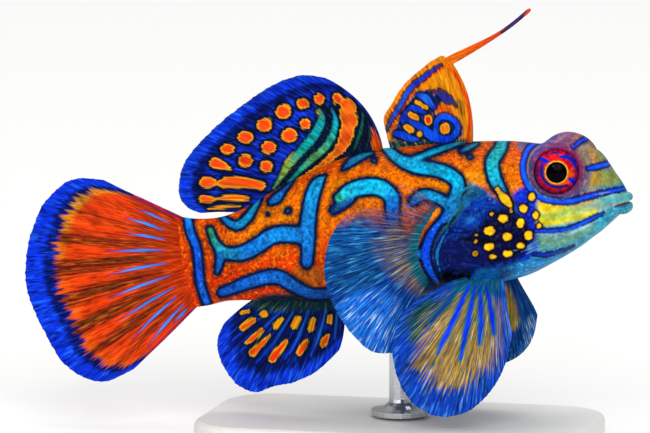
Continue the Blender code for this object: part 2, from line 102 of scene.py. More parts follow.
for lamp, at, size, watts in (
    ("key_lamp", (0.35, -0.9, 0.6), 0.7, 4.9),
    ("fill_lamp", (-0.7, -0.8, 0.5), 0.8, 2.4),
    ("top_lamp", (0.0, 0.3, 1.5), 1.6, 17.0),
    ("left_glint_lamp", (0.0, -0.8, 0.5), 0.09, 0.5),
    ("right_glint_lamp", (0.4, -0.7, 0.45), 0.05, 0.2),
):
    aim = Vector(FRAME_CENTRE) * MM - Vector(at)
    bpy.ops.object.light_add(type="AREA", location=at, rotation=aim.to_track_quat("-Z", "Y").to_euler())
    bpy.context.object.name = lamp
    bpy.context.object.data.energy = watts
    bpy.context.object.data.size = size

facing = Vector((
    math.sin(AZIMUTH) * math.cos(ELEVATION),
    -math.cos(AZIMUTH) * math.cos(ELEVATION),
    math.sin(ELEVATION),
))
bpy.ops.object.camera_add(
    location=(Vector(FRAME_CENTRE) + facing * CAMERA_DISTANCE) * MM,
    rotation=(-facing).to_track_quat("-Z", "Y").to_euler(),
)
camera = bpy.context.object
camera.data.sensor_width = SENSOR_WIDTH
camera.data.lens = SENSOR_WIDTH * CAMERA_DISTANCE / (PHOTO_WIDTH * PIXEL)
camera.data.clip_start = 0.01
bpy.context.scene.camera = camera


# The display stand: a small base of lacquered board with rounded corners, and one turned steel rod
# with a foot, on which the model sits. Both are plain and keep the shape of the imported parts.
board, tree, shader = new_material("satin lacquered board")
place = add(tree, "ShaderNodeTexCoord")
brush = add(tree, "ShaderNodeTexNoise", {"Vector": place.outputs["Object"], "Scale": 450.0, "Detail": 4.0})
cloud = add(tree, "ShaderNodeTexNoise", {"Vector": place.outputs["Object"], "Scale": 60.0, "Detail": 2.0})
tone = add(tree, "ShaderNodeValToRGB", {"Fac": cloud.outputs["Fac"]})
tone.color_ramp.elements[0].position, tone.color_ramp.elements[0].color = 0.35, linear("#E4E3DF")
tone.color_ramp.elements[1].position, tone.color_ramp.elements[1].color = 0.65, linear("#EDECE8")
tree.links.new(tone.outputs["Color"], shader.inputs["Base Color"])
sheen = add(tree, "ShaderNodeMapRange", {"Value": brush.outputs["Fac"], "To Min": 0.38, "To Max": 0.5})
tree.links.new(sheen.outputs["Result"], shader.inputs["Roughness"])
bump = add(tree, "ShaderNodeBump", {"Height": brush.outputs["Fac"], "Strength": 0.15, "Distance": 0.0001})
tree.links.new(bump.outputs["Normal"], shader.inputs["Normal"])

steel, tree, shader = new_material("turned stainless steel")
place = add(tree, "ShaderNodeTexCoord")
settings = {"Vector": place.outputs["Object"], "Scale": (300.0, 300.0, 14000.0)}
turning = add(tree, "ShaderNodeMapping", settings)
rings = add(tree, "ShaderNodeTexNoise", {"Vector": turning.outputs["Vector"], "Scale": 1.0, "Detail": 2.0})
sheen = add(tree, "ShaderNodeMapRange", {"Value": rings.outputs["Fac"], "To Min": 0.2, "To Max": 0.38})
tree.links.new(sheen.outputs["Result"], shader.inputs["Roughness"])
bump = add(tree, "ShaderNodeBump", {"Height": rings.outputs["Fac"], "Strength": 0.2, "Distance": 0.00002})
tree.links.new(bump.outputs["Normal"], shader.inputs["Normal"])
shader.inputs["Base Color"].default_value = linear("#C4C7CA")
shader.inputs["Metallic"].default_value = 1.0

for node, finish in (("stand_base", board), ("stand_rod", steel)):
    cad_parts[node].data.materials.clear()
    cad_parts[node].data.materials.append(finish)


# The skin: one smooth, scaleless hide over head, trunk and tail stalk, soft and slimy. It is drawn
# as a lofted body from nose to tail, and swells into the eye domes, the lips and the fins' roots.
NOSE_X = 26.3
SKIN_LENGTH = 51.5
TAIL_TAPER = 4.2
TAIL_THINNEST = 0.42
TAIL_TILT = math.radians(10)
TAIL_HINGE_Z = 20.0

# Each station's place along the body, height of the back and of the belly, and half width.
BODY_STATIONS = (
    (-27.4, 25.3, 14.0, 0.8),
    (-23.0, 24.5, 14.7, 1.3),
    (-19.5, 25.1, 15.4, 2.3),
    (-11.5, 29.7, 15.7, 4.5),
    (-4.6, 32.6, 15.8, 6.0),
    (3.5, 33.9, 17.1, 6.8),
    (11.5, 34.5, 18.8, 6.9),
    (15.0, 34.4, 19.8, 6.4),
    (18.0, 33.9, 21.4, 5.6),
    (20.7, 34.0, 23.1, 4.7),
    (22.2, 34.0, 24.3, 4.0),
    (23.0, 33.4, 24.9, 3.6),
    (24.3, 31.6, 26.1, 2.75),
    (25.3, 30.3, 27.0, 2.1),
    (26.3, 29.1, 27.6, 1.5),
)
WIDEST_AT = 0.45
UPPER_ROUNDNESS, LOWER_ROUNDNESS = 2.1, 2.5
NOSE_ROUNDING = 1.5
TAIL_ROUNDING = 0.8
RING_CROWDING = 1.6
SKIN_RINGS, SKIN_SIDES = 400, 236
EYE_AT = (18.5, 3.2, 31.95)
EYE_AXIS = np.array((0.24, 0.95, 0.09)) / np.linalg.norm((0.24, 0.95, 0.09))
EYE_RADIUS, EYE_STANDS_OUT = 2.75, 0.62
ORBIT_RADIUS, ORBIT_SHOULDER = 3.4, 2.0
ORBIT_INSET = (1.4, 1.6)
RIM_RADIUS = 2.72
RIM_ROLL, RIM_ROLL_BREADTH = 0.16, 0.22
RIM_GROOVE, RIM_GROOVE_OFF, RIM_GROOVE_BREADTH = 0.05, 0.5, 0.12
SOCKET_DEPTH = 1.7
MOUTH_CORNER, MOUTH_FRONT = np.array((24.9, 28.0)), np.array((26.45, 28.3))
MOUTH_HALF_WIDTH = 1.75
MOUTH_LINE_DEPTH, MOUTH_LINE_BREADTH = 0.5, 0.12
UPPER_LIP, LOWER_LIP = (0.48, 0.52), (-0.62, 0.66)
LIP_SHOULDER = 0.35
NOSTRIL_AT, NOSTRIL_RADIUS, NOSTRIL_DEPTH = (23.3, 31.4), 0.24, 0.3
GILL_PORE_AT, GILL_PORE_RADIUS, GILL_PORE_DEPTH, GILL_PORE_STRETCH = (9.65, 29.4), 0.36, 0.4, 1.4
PECTORAL_BASE = ((6.1, 27.5), (4.8, 25.4), (4.1, 23.2), (4.1, 21.3), (4.8, 19.5))
PECTORAL_SINK = 0.6

# Soft folds of the skin: their line in (x, z), how far they rise, and how broad they are.
FOLDS = {
    "lobe of the pectoral": (((6.6, 26.6), (5.1, 24.7), (4.6, 22.9), (4.9, 21.1), (5.8, 19.6)), 0.5, 0.6),
    "fold before the lobe": (((6.9, 25.4), (6.0, 23.6), (5.8, 22.2), (6.1, 20.8)), 0.25, 0.32),
    "edge of the gill cover": (((9.8, 30.4), (8.8, 30.0), (8.3, 28.7), (7.7, 27.4), (6.9, 26.0)), 0.22, 0.4),
    "crease of the cheek": (((7.5, 25.0), (9.2, 24.7), (11.1, 24.5)), -0.22, 0.3),
    "knuckle of the pelvic": (((10.7, 20.8), (11.5, 21.1), (12.3, 20.8)), 0.55, 0.5),
}


def smooth_path(knots, at):
    """The values at places along a smooth curve through knots of (place, value, ...)."""
    knots, at = np.asarray(knots, float), np.asarray(at, float)
    index = np.searchsorted(knots[1:-1, 0], at, side="left")
    before, start = knots[np.maximum(index - 1, 0)], knots[index]
    end, after = knots[index + 1], knots[np.minimum(index + 2, len(knots) - 1)]
    span = (end - start)[:, :1]
    t = np.clip((at[:, None] - start[:, :1]) / span, 0, 1)
    slope_in = (end - before)[:, 1:] / (end - before)[:, :1] * span
    slope_out = (after - start)[:, 1:] / (after - start)[:, :1] * span
    return (
        (2 * t ** 3 - 3 * t ** 2 + 1) * start[:, 1:]
        + (t ** 3 - 2 * t ** 2 + t) * slope_in
        + (3 * t ** 2 - 2 * t ** 3) * end[:, 1:]
        + (t ** 3 - t ** 2) * slope_out
    )


def path(points):
    """A function that gives places at shares 0 to 1 of a smooth path through evenly counted points."""
    knots = [(i / (len(points) - 1), *point) for i, point in enumerate(points)]
    return lambda share: smooth_path(knots, share)


def body_section(x):
    """Height of the back, of the belly and of the widest line, and the half width at places x."""
    back, belly, half_width = smooth_path(BODY_STATIONS, x).T
    return back, belly, belly + WIDEST_AT * (back - belly), half_width


def flank_y(x, z):
    """Half width of the body at places x and heights z."""
    back, belly, widest, half_width = body_section(x)
    height = np.where(z > widest, back - widest, widest - belly)
    power = np.where(z > widest, UPPER_ROUNDNESS, LOWER_ROUNDNESS)
    share = np.minimum(abs(z - widest) / height, 0.98)
    return half_width * (1 - share ** power) ** (1 / power)


def ease(value):
    """A soft step from 0 to 1 as the value goes from 0 to 1."""
    value = np.clip(value, 0, 1)
    return value * value * (3 - 2 * value)


def raise_orbits(places):
    """The places near an eye pushed out on to the ball of its orbit."""
    side = np.where(places[:, 1] >= 0, 1.0, -1.0)
    centre = np.column_stack((np.full(len(side), EYE_AT[0]), side * EYE_AT[1], np.full(len(side), EYE_AT[2])))
    inner = centre - np.column_stack((0 * side, ORBIT_INSET[0] * side, 0 * side + ORBIT_INSET[1]))
    away = places - inner
    distance = np.linalg.norm(away, axis=1)
    direction = away / distance[:, None]
    offset = inner - centre
    reach = (offset * direction).sum(1)
    under_root = reach ** 2 - (offset ** 2).sum(1) + ORBIT_RADIUS ** 2
    dome = -reach + np.sqrt(np.maximum(under_root, 0))
    shoulder = np.maximum(ORBIT_SHOULDER - abs(dome - distance), 0) / ORBIT_SHOULDER
    raised = np.maximum(dome, distance) + shoulder ** 3 * ORBIT_SHOULDER / 6
    return np.where(under_root[:, None] > 0, inner + direction * raised[:, None], places)


def fold_orbit_rims(places):
    """The skin round each eye rolled over into a soft rim that dips down behind the eyeball."""
    for side in (-1, 1):
        axis = EYE_AXIS * (1, side, 1)
        away = places - np.array(EYE_AT) * (1, side, 1)
        out = away @ axis
        radius = np.linalg.norm(away - out[:, None] * axis, axis=1)
        on_dome = ease((out - 0.2) / 0.6) * (places[:, 1] * side > 0)
        roll = RIM_ROLL * np.exp(-((radius - RIM_RADIUS) / RIM_ROLL_BREADTH) ** 2)
        ring = RIM_GROOVE * np.exp(-((radius - RIM_RADIUS - RIM_GROOVE_OFF) / RIM_GROOVE_BREADTH) ** 2)
        plunge = SOCKET_DEPTH * ease((RIM_RADIUS - 0.1 - radius) / 0.4)
        places = places + ((roll - ring - plunge) * on_dome)[:, None] * axis
    return places


def nearest_on(line, places):
    """The nearest point to each place on a line of points, in any number of dimensions."""
    best = np.full(len(places), np.inf)
    found = np.zeros_like(places)
    for start, end in zip(line, line[1:]):
        run = end - start
        t = np.clip(((places - start) @ run) / (run @ run), 0, 1)[:, None]
        point = start + t * run
        distance = np.linalg.norm(places - point, axis=1)
        closer = distance < best
        best[closer], found[closer] = distance[closer], point[closer]
    return found, best


def swell_lips(places):
    """Two thick lips rolled out round the mouth, and the mouth's line pressed in between them."""
    ahead = places[:, 0] > MOUTH_CORNER[0] - 1.5
    near = places[ahead]
    turn = np.linspace(-math.pi / 2, math.pi / 2, 25)
    forward = np.cos(turn)
    for lift, radius in (UPPER_LIP, LOWER_LIP):
        line = np.column_stack((
            MOUTH_CORNER[0] + (MOUTH_FRONT[0] - MOUTH_CORNER[0] - radius) * forward,
            MOUTH_HALF_WIDTH * np.sin(turn),
            MOUTH_CORNER[1] + (MOUTH_FRONT[1] - MOUTH_CORNER[1]) * forward + lift * (0.45 + 0.55 * forward),
        ))
        centre, distance = nearest_on(line, near)
        thickness = radius * (0.6 + 0.4 * ease((centre[:, 0] - MOUTH_CORNER[0]) / 0.7))
        shoulder = np.maximum(LIP_SHOULDER - abs(distance - thickness), 0) / LIP_SHOULDER
        outwards = (near - centre) / np.maximum(distance, 0.05)[:, None]
        swollen = np.maximum(distance, thickness) + 0.05 * shoulder ** 3
        near = centre + outwards * swollen[:, None]
    run = (MOUTH_FRONT - MOUTH_CORNER) / np.linalg.norm(MOUTH_FRONT - MOUTH_CORNER)
    above = (near[:, [0, 2]] - MOUTH_CORNER) @ np.array((-run[1], run[0]))
    pressed = MOUTH_LINE_DEPTH * np.exp(-(above / MOUTH_LINE_BREADTH) ** 2)
    pressed = pressed * ease((near[:, 0] - MOUTH_CORNER[0] + 0.1) / 0.5)
    inwards = np.column_stack((MOUTH_CORNER[0] - 1.0 - near[:, 0], -near[:, 1], 0 * above))
    near = near + inwards / np.linalg.norm(inwards, axis=1)[:, None] * pressed[:, None]
    places = places.copy()
    places[ahead] = near
    return places


def pit(places, x, z, radius, depth, stretch=1.0):
    """A small opening with a raised edge pressed into each flank."""
    across = np.hypot((places[:, 0] - x) / stretch, places[:, 2] - z) / radius
    shape = 1.4 * np.exp(-((across - 1.3) / 0.4) ** 2) * 0.25 - np.exp(-across ** 4)
    side = np.sign(places[:, 1])
    places = places.copy()
    places[:, 1] += side * depth * shape * (abs(places[:, 1]) > 0.3)
    return places


bpy.ops.object.select_all(action="DESELECT")
bpy.ops.mesh.primitive_uv_sphere_add(segments=SKIN_SIDES, ring_count=SKIN_RINGS, radius=1.0)
skin = bpy.context.object
skin.name = "skin"


def vertex_places(piece):
    """The places of a mesh's vertices, as an array."""
    flat = np.empty(3 * len(piece.data.vertices))
    piece.data.vertices.foreach_get("co", flat)
    return flat.reshape(-1, 3)


def put_vertices(piece, places):
    """A mesh's vertices moved to places given in millimetres."""
    piece.data.vertices.foreach_set("co", (places * MM).ravel())
    piece.data.update()


def face_outwards(piece):
    """A closed mesh's faces all turned to point outwards."""
    bpy.context.view_layer.objects.active = piece
    bpy.ops.object.mode_set(mode="EDIT")
    bpy.ops.mesh.select_all(action="SELECT")
    bpy.ops.mesh.normals_make_consistent(inside=False)
    bpy.ops.object.mode_set(mode="OBJECT")


unit = vertex_places(skin)
x = NOSE_X - SKIN_LENGTH * (np.arccos(np.clip(unit[:, 2], -1, 1)) / math.pi) ** RING_CROWDING
back, belly, widest, half_width = body_section(x)
ring = np.maximum(np.hypot(unit[:, 0], unit[:, 1]), 1e-9)
across, up = -unit[:, 1] / ring, unit[:, 0] / ring
power = np.where(up > 0, UPPER_ROUNDNESS, LOWER_ROUNDNESS)
height = np.where(up > 0, back - widest, widest - belly)
tail_x = NOSE_X - SKIN_LENGTH
depth = np.minimum(np.minimum((NOSE_X - x) / NOSE_ROUNDING, (x - tail_x) / TAIL_ROUNDING), 1)
closing = np.sqrt(np.maximum(1 - (1 - depth) ** 2, 0))
half_width = half_width * (1 - (1 - TAIL_THINNEST) * ease((tail_x + TAIL_TAPER - x) / TAIL_TAPER))
y = closing * half_width * np.sign(across) * abs(across) ** (2 / power)
z = widest + closing * height * np.sign(up) * abs(up) ** (2 / power)
x = x - math.tan(TAIL_TILT) * (z - TAIL_HINGE_Z) * ease((-18.0 - x) / 6.0)
hide = raise_orbits(np.column_stack((x, y, z)))
hide = fold_orbit_rims(hide)
hide = swell_lips(hide)
hide = pit(hide, *NOSTRIL_AT, NOSTRIL_RADIUS, NOSTRIL_DEPTH)
hide = pit(hide, *GILL_PORE_AT, GILL_PORE_RADIUS, GILL_PORE_DEPTH, GILL_PORE_STRETCH)
for crest, rise, breadth in FOLDS.values():
    _, off_crest = nearest_on(path(crest)(np.linspace(0, 1, 17)), hide[:, [0, 2]])
    hide[:, 1] += np.sign(hide[:, 1]) * rise * np.exp(-(off_crest / breadth) ** 2) * (abs(hide[:, 1]) > 2)
put_vertices(skin, hide)
face_outwards(skin)
bpy.ops.object.shade_smooth()


# The skin's markings: blue and teal bands edged with navy on orange, a spotted navy cheek and a
# striped face. Each is a smooth line or outline through a few points of the photograph, in its
# pixels, with widths in millimetres. The far side has the same ones.
NAVY, INK, OLIVE = "#00103C", "#000010", "#1A2400"
CYAN, TEAL = "#0098C8", "#10849C"
ORANGE, YELLOW = "#F57206", "#FFD018"
BEYOND = 9.0


def seen(places):
    """The pixels where the photograph shows places given in millimetres."""
    x, y, z = (places - np.array(FRAME_CENTRE)).T
    right = x * math.cos(AZIMUTH) + y * math.sin(AZIMUTH)
    rise = (y * math.cos(AZIMUTH) - x * math.sin(AZIMUTH)) * math.sin(ELEVATION) + z * math.cos(ELEVATION)
    return np.column_stack((PHOTO_WIDTH / 2 + right / PIXEL, PHOTO_HEIGHT / 2 - rise / PIXEL))


def seen_from_right(places):
    """The same, with the far half of the fish taken to be marked as the near half is."""
    return seen(places * (1, 0, 1) - abs(places) * (0, 1, 0))


def stroke(points, widths, *colours):
    """A mark drawn as a smooth line whose width, in millimetres, and colour change along it."""
    steps = 4 * (len(points) - 1) if len(points) > 2 else 1
    share = np.linspace(0, 1, steps + 1)
    line = path(points)(share)
    broad = path([(width,) for width in widths])(share)[:, 0] if len(widths) > 1 else 0 * share + widths[0]
    hues = np.array([linear(colour) for colour in colours])
    hues = path([tuple(hue) for hue in hues])(share) if len(hues) > 1 else np.repeat(hues, len(share), 0)
    return line, np.maximum(broad, 0.05) / 2, np.clip(hues, 0, 1), False


def spot(x, y, radius, colour, high=None):
    """A round mark, or an upright or flat oval one, with its radius in millimetres."""
    turn = np.linspace(0, 2 * math.pi, 13)
    line = np.column_stack((x + radius / PIXEL * np.cos(turn), y + (high or radius) / PIXEL * np.sin(turn)))
    return line, 0 * turn, np.repeat([linear(colour)], len(turn), 0), True


def patch(points, colour):
    """A mark that fills a smooth closed outline."""
    closed = [points[-1], *points, points[0], points[1]]
    share = np.linspace(1, len(points) + 1, 4 * len(points) + 1) / (len(closed) - 1)
    line = path(closed)(share)
    return line, np.zeros(len(line)), np.repeat([linear(colour)], len(line), 0), True


def mark_distance(at, mark):
    """Millimetres from each photo place to the mark's edge, below zero within it, and its colour there."""
    line, half_widths, colours, filled = mark
    reach = BEYOND / PIXEL
    near = np.flatnonzero(((at > line.min(0) - reach) & (at < line.max(0) + reach)).all(1))
    distance, hue = np.full(len(at), BEYOND), np.repeat(colours[:1], len(at), 0)
    if not len(near):
        return distance, hue
    places = at[near]
    best, colour = np.full(len(near), BEYOND), np.repeat(colours[:1], len(near), 0)
    inside = np.zeros(len(near), bool)
    for i in range(len(line) - 1):
        start, run = line[i], line[i + 1] - line[i]
        t = np.clip(((places - start) @ run) / max(run @ run, 1e-9), 0, 1)
        away = np.linalg.norm(places - start - t[:, None] * run, axis=1) * PIXEL
        away -= half_widths[i] + t * (half_widths[i + 1] - half_widths[i])
        closer = away < best
        best[closer] = away[closer]
        colour[closer] = (colours[i] + t[:, None] * (colours[i + 1] - colours[i]))[closer]
        if filled and abs(run[1]) > 1e-9:
            crossing = (places[:, 1] >= start[1]) != (places[:, 1] >= start[1] + run[1])
            inside ^= crossing & (places[:, 0] < start[0] + (places[:, 1] - start[1]) / run[1] * run[0])
    distance[near] = np.where(inside, -best, best) if filled else best
    hue[near] = colour
    return distance, hue


def store(piece, name, values):
    """Values kept on a mesh's vertices under a name: one number each, or a colour."""
    kind = "FLOAT" if values.ndim == 1 else "FLOAT_COLOR"
    kept = piece.data.attributes.get(name) or piece.data.attributes.new(name, kind, "POINT")
    kept.data.foreach_set("value" if values.ndim == 1 else "color", values.astype(np.float32).ravel())


def lay(piece, name, at, marks, merge=0.22):
    """A layer of marks stored on a mesh: the distance to their joint edge, and their colour."""
    weight, colour = np.zeros(len(at)), np.zeros((len(at), 4))
    for mark in marks:
        distance, hue = mark_distance(at, mark)
        share = np.exp(-np.maximum(distance, -2.0) / merge)
        weight += share
        colour += share[:, None] * hue
    store(piece, name, np.clip(-merge * np.log(weight), -BEYOND, BEYOND))
    store(piece, name + "_colour", colour / weight[:, None])


def blend(colours, other, share):
    """Colours mixed with another, by a share from 0 to 1 at each place."""
    other = np.array(linear(other)) if isinstance(other, str) else other
    return colours * (1 - share[:, None]) + other * share[:, None]


def within(at, mark, soft=0.5, stray=0.0):
    """How far each photo place is within a mark, from 0 to 1 over an edge some millimetres soft."""
    return ease(0.5 - (mark_distance(at, mark)[0] + stray) / soft)


def lighter(colour):
    """A pigment's colour where its pale cells lie thick, and where highlights on the slime are painted."""
    return np.clip(np.asarray(colour) * 1.25 + (0.01, 0.015, 0.015, 0), 0, 1)


def zoned(at, colours, zones, stray=0.0):
    """The ground's colours, of its flecks and glints too, with fields of other colours laid over them.

    Each field has its outline, its colour, its flecks' colour, perhaps its glints' colour, and how
    many millimetres its edge takes.
    """
    for outline, colour, fleck, *glint, soft in zones.values():
        share = within(at, patch(outline, colour), soft, stray)
        hues = colour, fleck, (glint[0] if glint else lighter(linear(colour)))
        colours = [blend(below, hue, share) for below, hue in zip(colours, hues)]
    return colours


def paint(piece, colours):
    """The ground, fleck and glint colours of a skin or fin stored on its mesh."""
    for name, values in zip(("ground", "fleck", "glint"), colours):
        store(piece, name, values)


def sway(values, seed, count=7, low=0.6, high=3.0):
    """A smooth irregular wave of the values, from about -1 to 1."""
    draw = np.random.default_rng(seed)
    rates, phases = draw.uniform(low, high, count), draw.uniform(0, 2 * math.pi, count)
    return np.sin(values[..., None] * rates + phases).sum(-1) / math.sqrt(count)


at = seen_from_right(hide)
back, belly, _, _ = body_section(np.clip(hide[:, 0], -24, NOSE_X))
level = np.clip((hide[:, 2] - belly) / (back - belly), 0, 1)
clouds = sway(hide[:, 0] * 0.9 + hide[:, 2] * 0.3, 71) * sway(hide[:, 2] * 0.9 - hide[:, 0] * 0.2, 72)
# The orange ground is redder and darker towards the belly and golden in clouds on the upper flanks: partly
# the fish's own colour, and partly painted shade underneath and painted light above. It is redder again along
# the top of the back and on the tail stalk.
ground = np.repeat([linear("#E43002")], len(hide), 0)
ground = blend(ground, "#F07000", ease((level - 0.3) / 0.4))
ground = blend(ground, "#D84402", ease((level - 0.84) / 0.14) * 0.9)
ground = blend(ground, "#F08A02", 0.7 * ease(clouds * 0.9) * ease(level * 2 - 0.5))
ground = blend(ground, "#E43202", 0.8 * ease((-15 - hide[:, 0]) / 8))
fleck = blend(ground, "#5C1C00", np.full(len(hide), 0.7))
glint = blend(ground, "#F8A00C", np.full(len(hide), 0.55))

SKIN_FIELDS = {
    "golden shoulder": (
        ((440, 196), (456, 178), (468, 172), (484, 172), (488, 182), (476, 186), (462, 188), (450, 200)),
        "#F08C04", "#C87808", 0.9),
    "golden wedge in the pectoral": (
        ((424, 206), (434, 203), (447, 209), (448, 216), (436, 218), (426, 213)), "#F28204", "#D86C08", 0.4),
    "brown rear belly": (
        ((292, 272), (304, 264), (322, 268), (326, 280), (308, 286), (294, 282)), "#A85008", "#7C3804", 1.2),
    "blue-grey nape": (
        ((520, 136), (540, 138), (560, 150), (530, 152), (516, 148)), "#585880", "#885060", 0.8),
    "dark belly behind the pectoral": (
        ((258, 297), (276, 293), (300, 293), (330, 288), (360, 290), (400, 296), (400, 312), (330, 308),
         (262, 306)),
        "#0C2438", "#04101C", 0.8),
    "face": (
        ((532, 196), (560, 201), (590, 196), (618, 188), (640, 185), (640, 216), (612, 236), (585, 256),
         (560, 270), (520, 286), (470, 296), (400, 306), (395, 286), (430, 274), (452, 262), (500, 250),
         (532, 240), (536, 216)),
        "#2C9CB8", "#1C84A4", "#60B8C4", 1.0),
    "chin": (
        ((540, 246), (560, 251), (580, 246), (604, 234), (622, 238), (585, 262), (540, 282), (470, 302),
         (390, 314), (385, 296), (440, 284), (500, 268)),
        "#1C84C4", "#0C64A8", "#64B0D0", 1.8),
    "throat": (
        ((380, 306), (400, 282), (440, 272), (470, 266), (500, 266), (512, 268), (500, 284), (470, 296),
         (420, 308)),
        "#04306C", "#021C50", 1.6),
    "behind the gill cover": (
        ((452, 198), (446, 213), (436, 222), (427, 238), (423, 256), (427, 274), (438, 284), (452, 282),
         (448, 262), (446, 244), (451, 228), (459, 210)),
        "#0A4494", "#02184C", "#1C78B8", 0.7),
    "cheek": (
        ((446, 222), (452, 206), (460, 192), (472, 186), (484, 190), (494, 198), (508, 203), (518, 200),
         (528, 190), (537, 196), (540, 214), (536, 236), (533, 252), (518, 262), (490, 270), (466, 276),
         (444, 276), (434, 262), (436, 242)),
        "#0634A0", "#02185C", "#145CA8", 0.5),
    "teal edge of the gill cover": (
        ((452, 190), (462, 183), (474, 185), (472, 194), (463, 203), (459, 214), (451, 223), (441, 230),
         (437, 223), (446, 212), (451, 202)),
        "#107C94", "#0A4464", "#38A090", 0.9),
    "cheek front": (
        ((510, 198), (516, 190), (528, 186), (537, 194), (541, 210), (538, 236), (534, 252), (522, 260),
         (516, 250), (522, 230), (518, 212)),
        "#0828C8", "#041088", "#1048E8", 0.6),
    "dark cheek": (
        ((462, 238), (476, 226), (490, 212), (502, 208), (518, 214), (528, 226), (530, 240), (520, 256),
         (500, 264), (478, 264), (462, 254)),
        "#02063C", "#000018", 1.1),
    # The next two fields are painted shade: dark navy under the cheek's crease, and a near-black line along
    # the crease itself.
    "painted shade under the crease": (
        ((446, 238), (470, 242), (492, 258), (486, 270), (460, 280), (444, 274), (438, 256)),
        "#021058", "#010A34", 1.0),
    "crease": (
        ((458, 237), (476, 238.5), (494, 239), (494, 242), (474, 243), (458, 240)),
        "#00020C", "#00020C", 0.4),
    "shade by the pelvic root": (
        ((438, 272), (456, 270), (474, 274), (468, 282), (448, 284), (436, 281)), "#000410", "#000410", 0.8),
    "top of the gill cover": (
        ((464, 190), (474, 187), (482, 190), (480, 196), (466, 198)), "#0A6090", "#084878", 0.6),
    "pelvic folds": (
        ((474, 272), (484, 268), (496, 270), (498, 282), (482, 288), (470, 284)), "#0A5CA0", "#084080", 0.7),
    "lime cheek stripe": (
        ((539, 201), (552, 204), (570, 205), (594, 200), (600, 206), (590, 213), (560, 222), (540, 225),
         (535, 213)),
        "#B0C84C", "#98B850", "#C4D46C", 0.8),
    "pale front of the stripe": (
        ((584, 201), (600, 197), (616, 195), (622, 200), (610, 206), (596, 211), (582, 216), (578, 208)),
        "#98BCA0", "#88A8A4", "#B4C4B4", 1.6),
    "yellow start": (
        ((538, 200), (550, 204), (562, 205.5), (556, 210), (544, 213), (536, 208)),
        "#F4C80C", "#DCB414", "#F8D820", 0.9),
    "yellow lower edge": (
        ((536, 217), (552, 220), (575, 215), (590, 209.5), (594, 213), (576, 220), (552, 225), (536, 225)),
        "#ECD818", "#D0CC28", "#F4E430", 0.6),
    "ochre upper edge": (
        ((560, 202), (576, 203), (590, 200.5), (590, 203), (576, 205.5), (560, 205)),
        "#C8941C", "#A88828", "#D0A830", 0.5),
    "green chin": (
        ((536, 234), (556, 233), (576, 228), (590, 224), (588, 232), (564, 244), (540, 248)),
        "#70A080", "#589080", "#8CB498", 1.6),
    "pale line of the chin": (
        ((536, 231.5), (556, 232), (574, 228), (590, 221), (590, 224), (574, 231.5), (554, 235), (537, 234)),
        "#A8D4D8", "#8CC0CC", "#C0E0E0", 0.4),
    "snout above the lip": (
        ((598, 194), (618, 190), (634, 190), (632, 200), (618, 204), (602, 206)),
        "#48A4AC", "#6C9894", "#70C0BC", 1.0),
    "lower lip": (
        ((606, 208), (620, 205), (634, 204), (636, 212), (624, 219), (610, 220)),
        "#3C9CB8", "#2480A8", "#78BCC4", 0.7),
    "brow": (
        ((563, 134), (585, 130), (604, 150), (612, 162), (590, 168), (578, 160), (566, 148)),
        "#A87C30", "#80605C", 0.9),
    "brow tip": (((594, 148), (604, 152), (612, 162), (602, 164), (596, 156)), "#70884C", "#5C7058", 0.8),
    "snout": (
        ((582, 170), (604, 167), (620, 172), (630, 186), (600, 191), (578, 193), (568, 199), (560, 197)),
        "#148C98", "#107088", 0.9),
    "gold behind the nostril": (
        ((588, 172), (600, 171), (602, 182), (592, 188), (584, 186)), "#B89030", "#8C8038", "#C8A850", 0.9),
    "olive snout": (((598, 172), (612, 171), (620, 178), (612, 185), (600, 185)), "#7C9448", "#98743C", 0.9),
    "eye dome": (
        ((531, 150), (536, 140), (548, 132), (562, 131), (576, 140), (584, 152), (588, 170), (584, 188),
         (572, 199), (556, 202), (540, 200), (528, 190), (523, 172), (526, 156)),
        "#44507C", "#50447C", "#8C6C84", 0.7),
    "lilac dome front": (
        ((574, 148), (582, 154), (587, 170), (584, 186), (578, 190), (580, 172), (574, 156)),
        "#84707C", "#5C5880", "#A8949C", 0.8),
    "dome top": (
        ((540, 138), (556, 131), (572, 132), (576, 138), (566, 144), (550, 144)),
        "#7C4C74", "#44548C", "#B85468", 0.8),
    "green on the dome": (
        ((574, 143), (580, 146), (586, 158), (588, 168), (583, 166), (577, 154)),
        "#948C5C", "#6C7068", "#B8A070", 0.7),
    "gold on the dome": (
        ((566, 137), (574, 138), (577, 143), (570, 146), (564, 142)), "#B88820", "#906C38", 0.6),
    "blue dome rear": (
        ((533, 146), (546, 142), (558, 146), (546, 152), (536, 156), (530, 156)),
        "#2C58A8", "#504C90", "#8C5C8C", 0.7),
    "crimson round the iris": (
        ((530, 170), (537, 152), (556, 144), (574, 151), (582, 170), (575, 188), (557, 195), (538, 189)),
        "#8C1C48", "#442C6C", "#C03048", 1.3),
}
paint(skin, zoned(at, (ground, fleck, glint), SKIN_FIELDS))

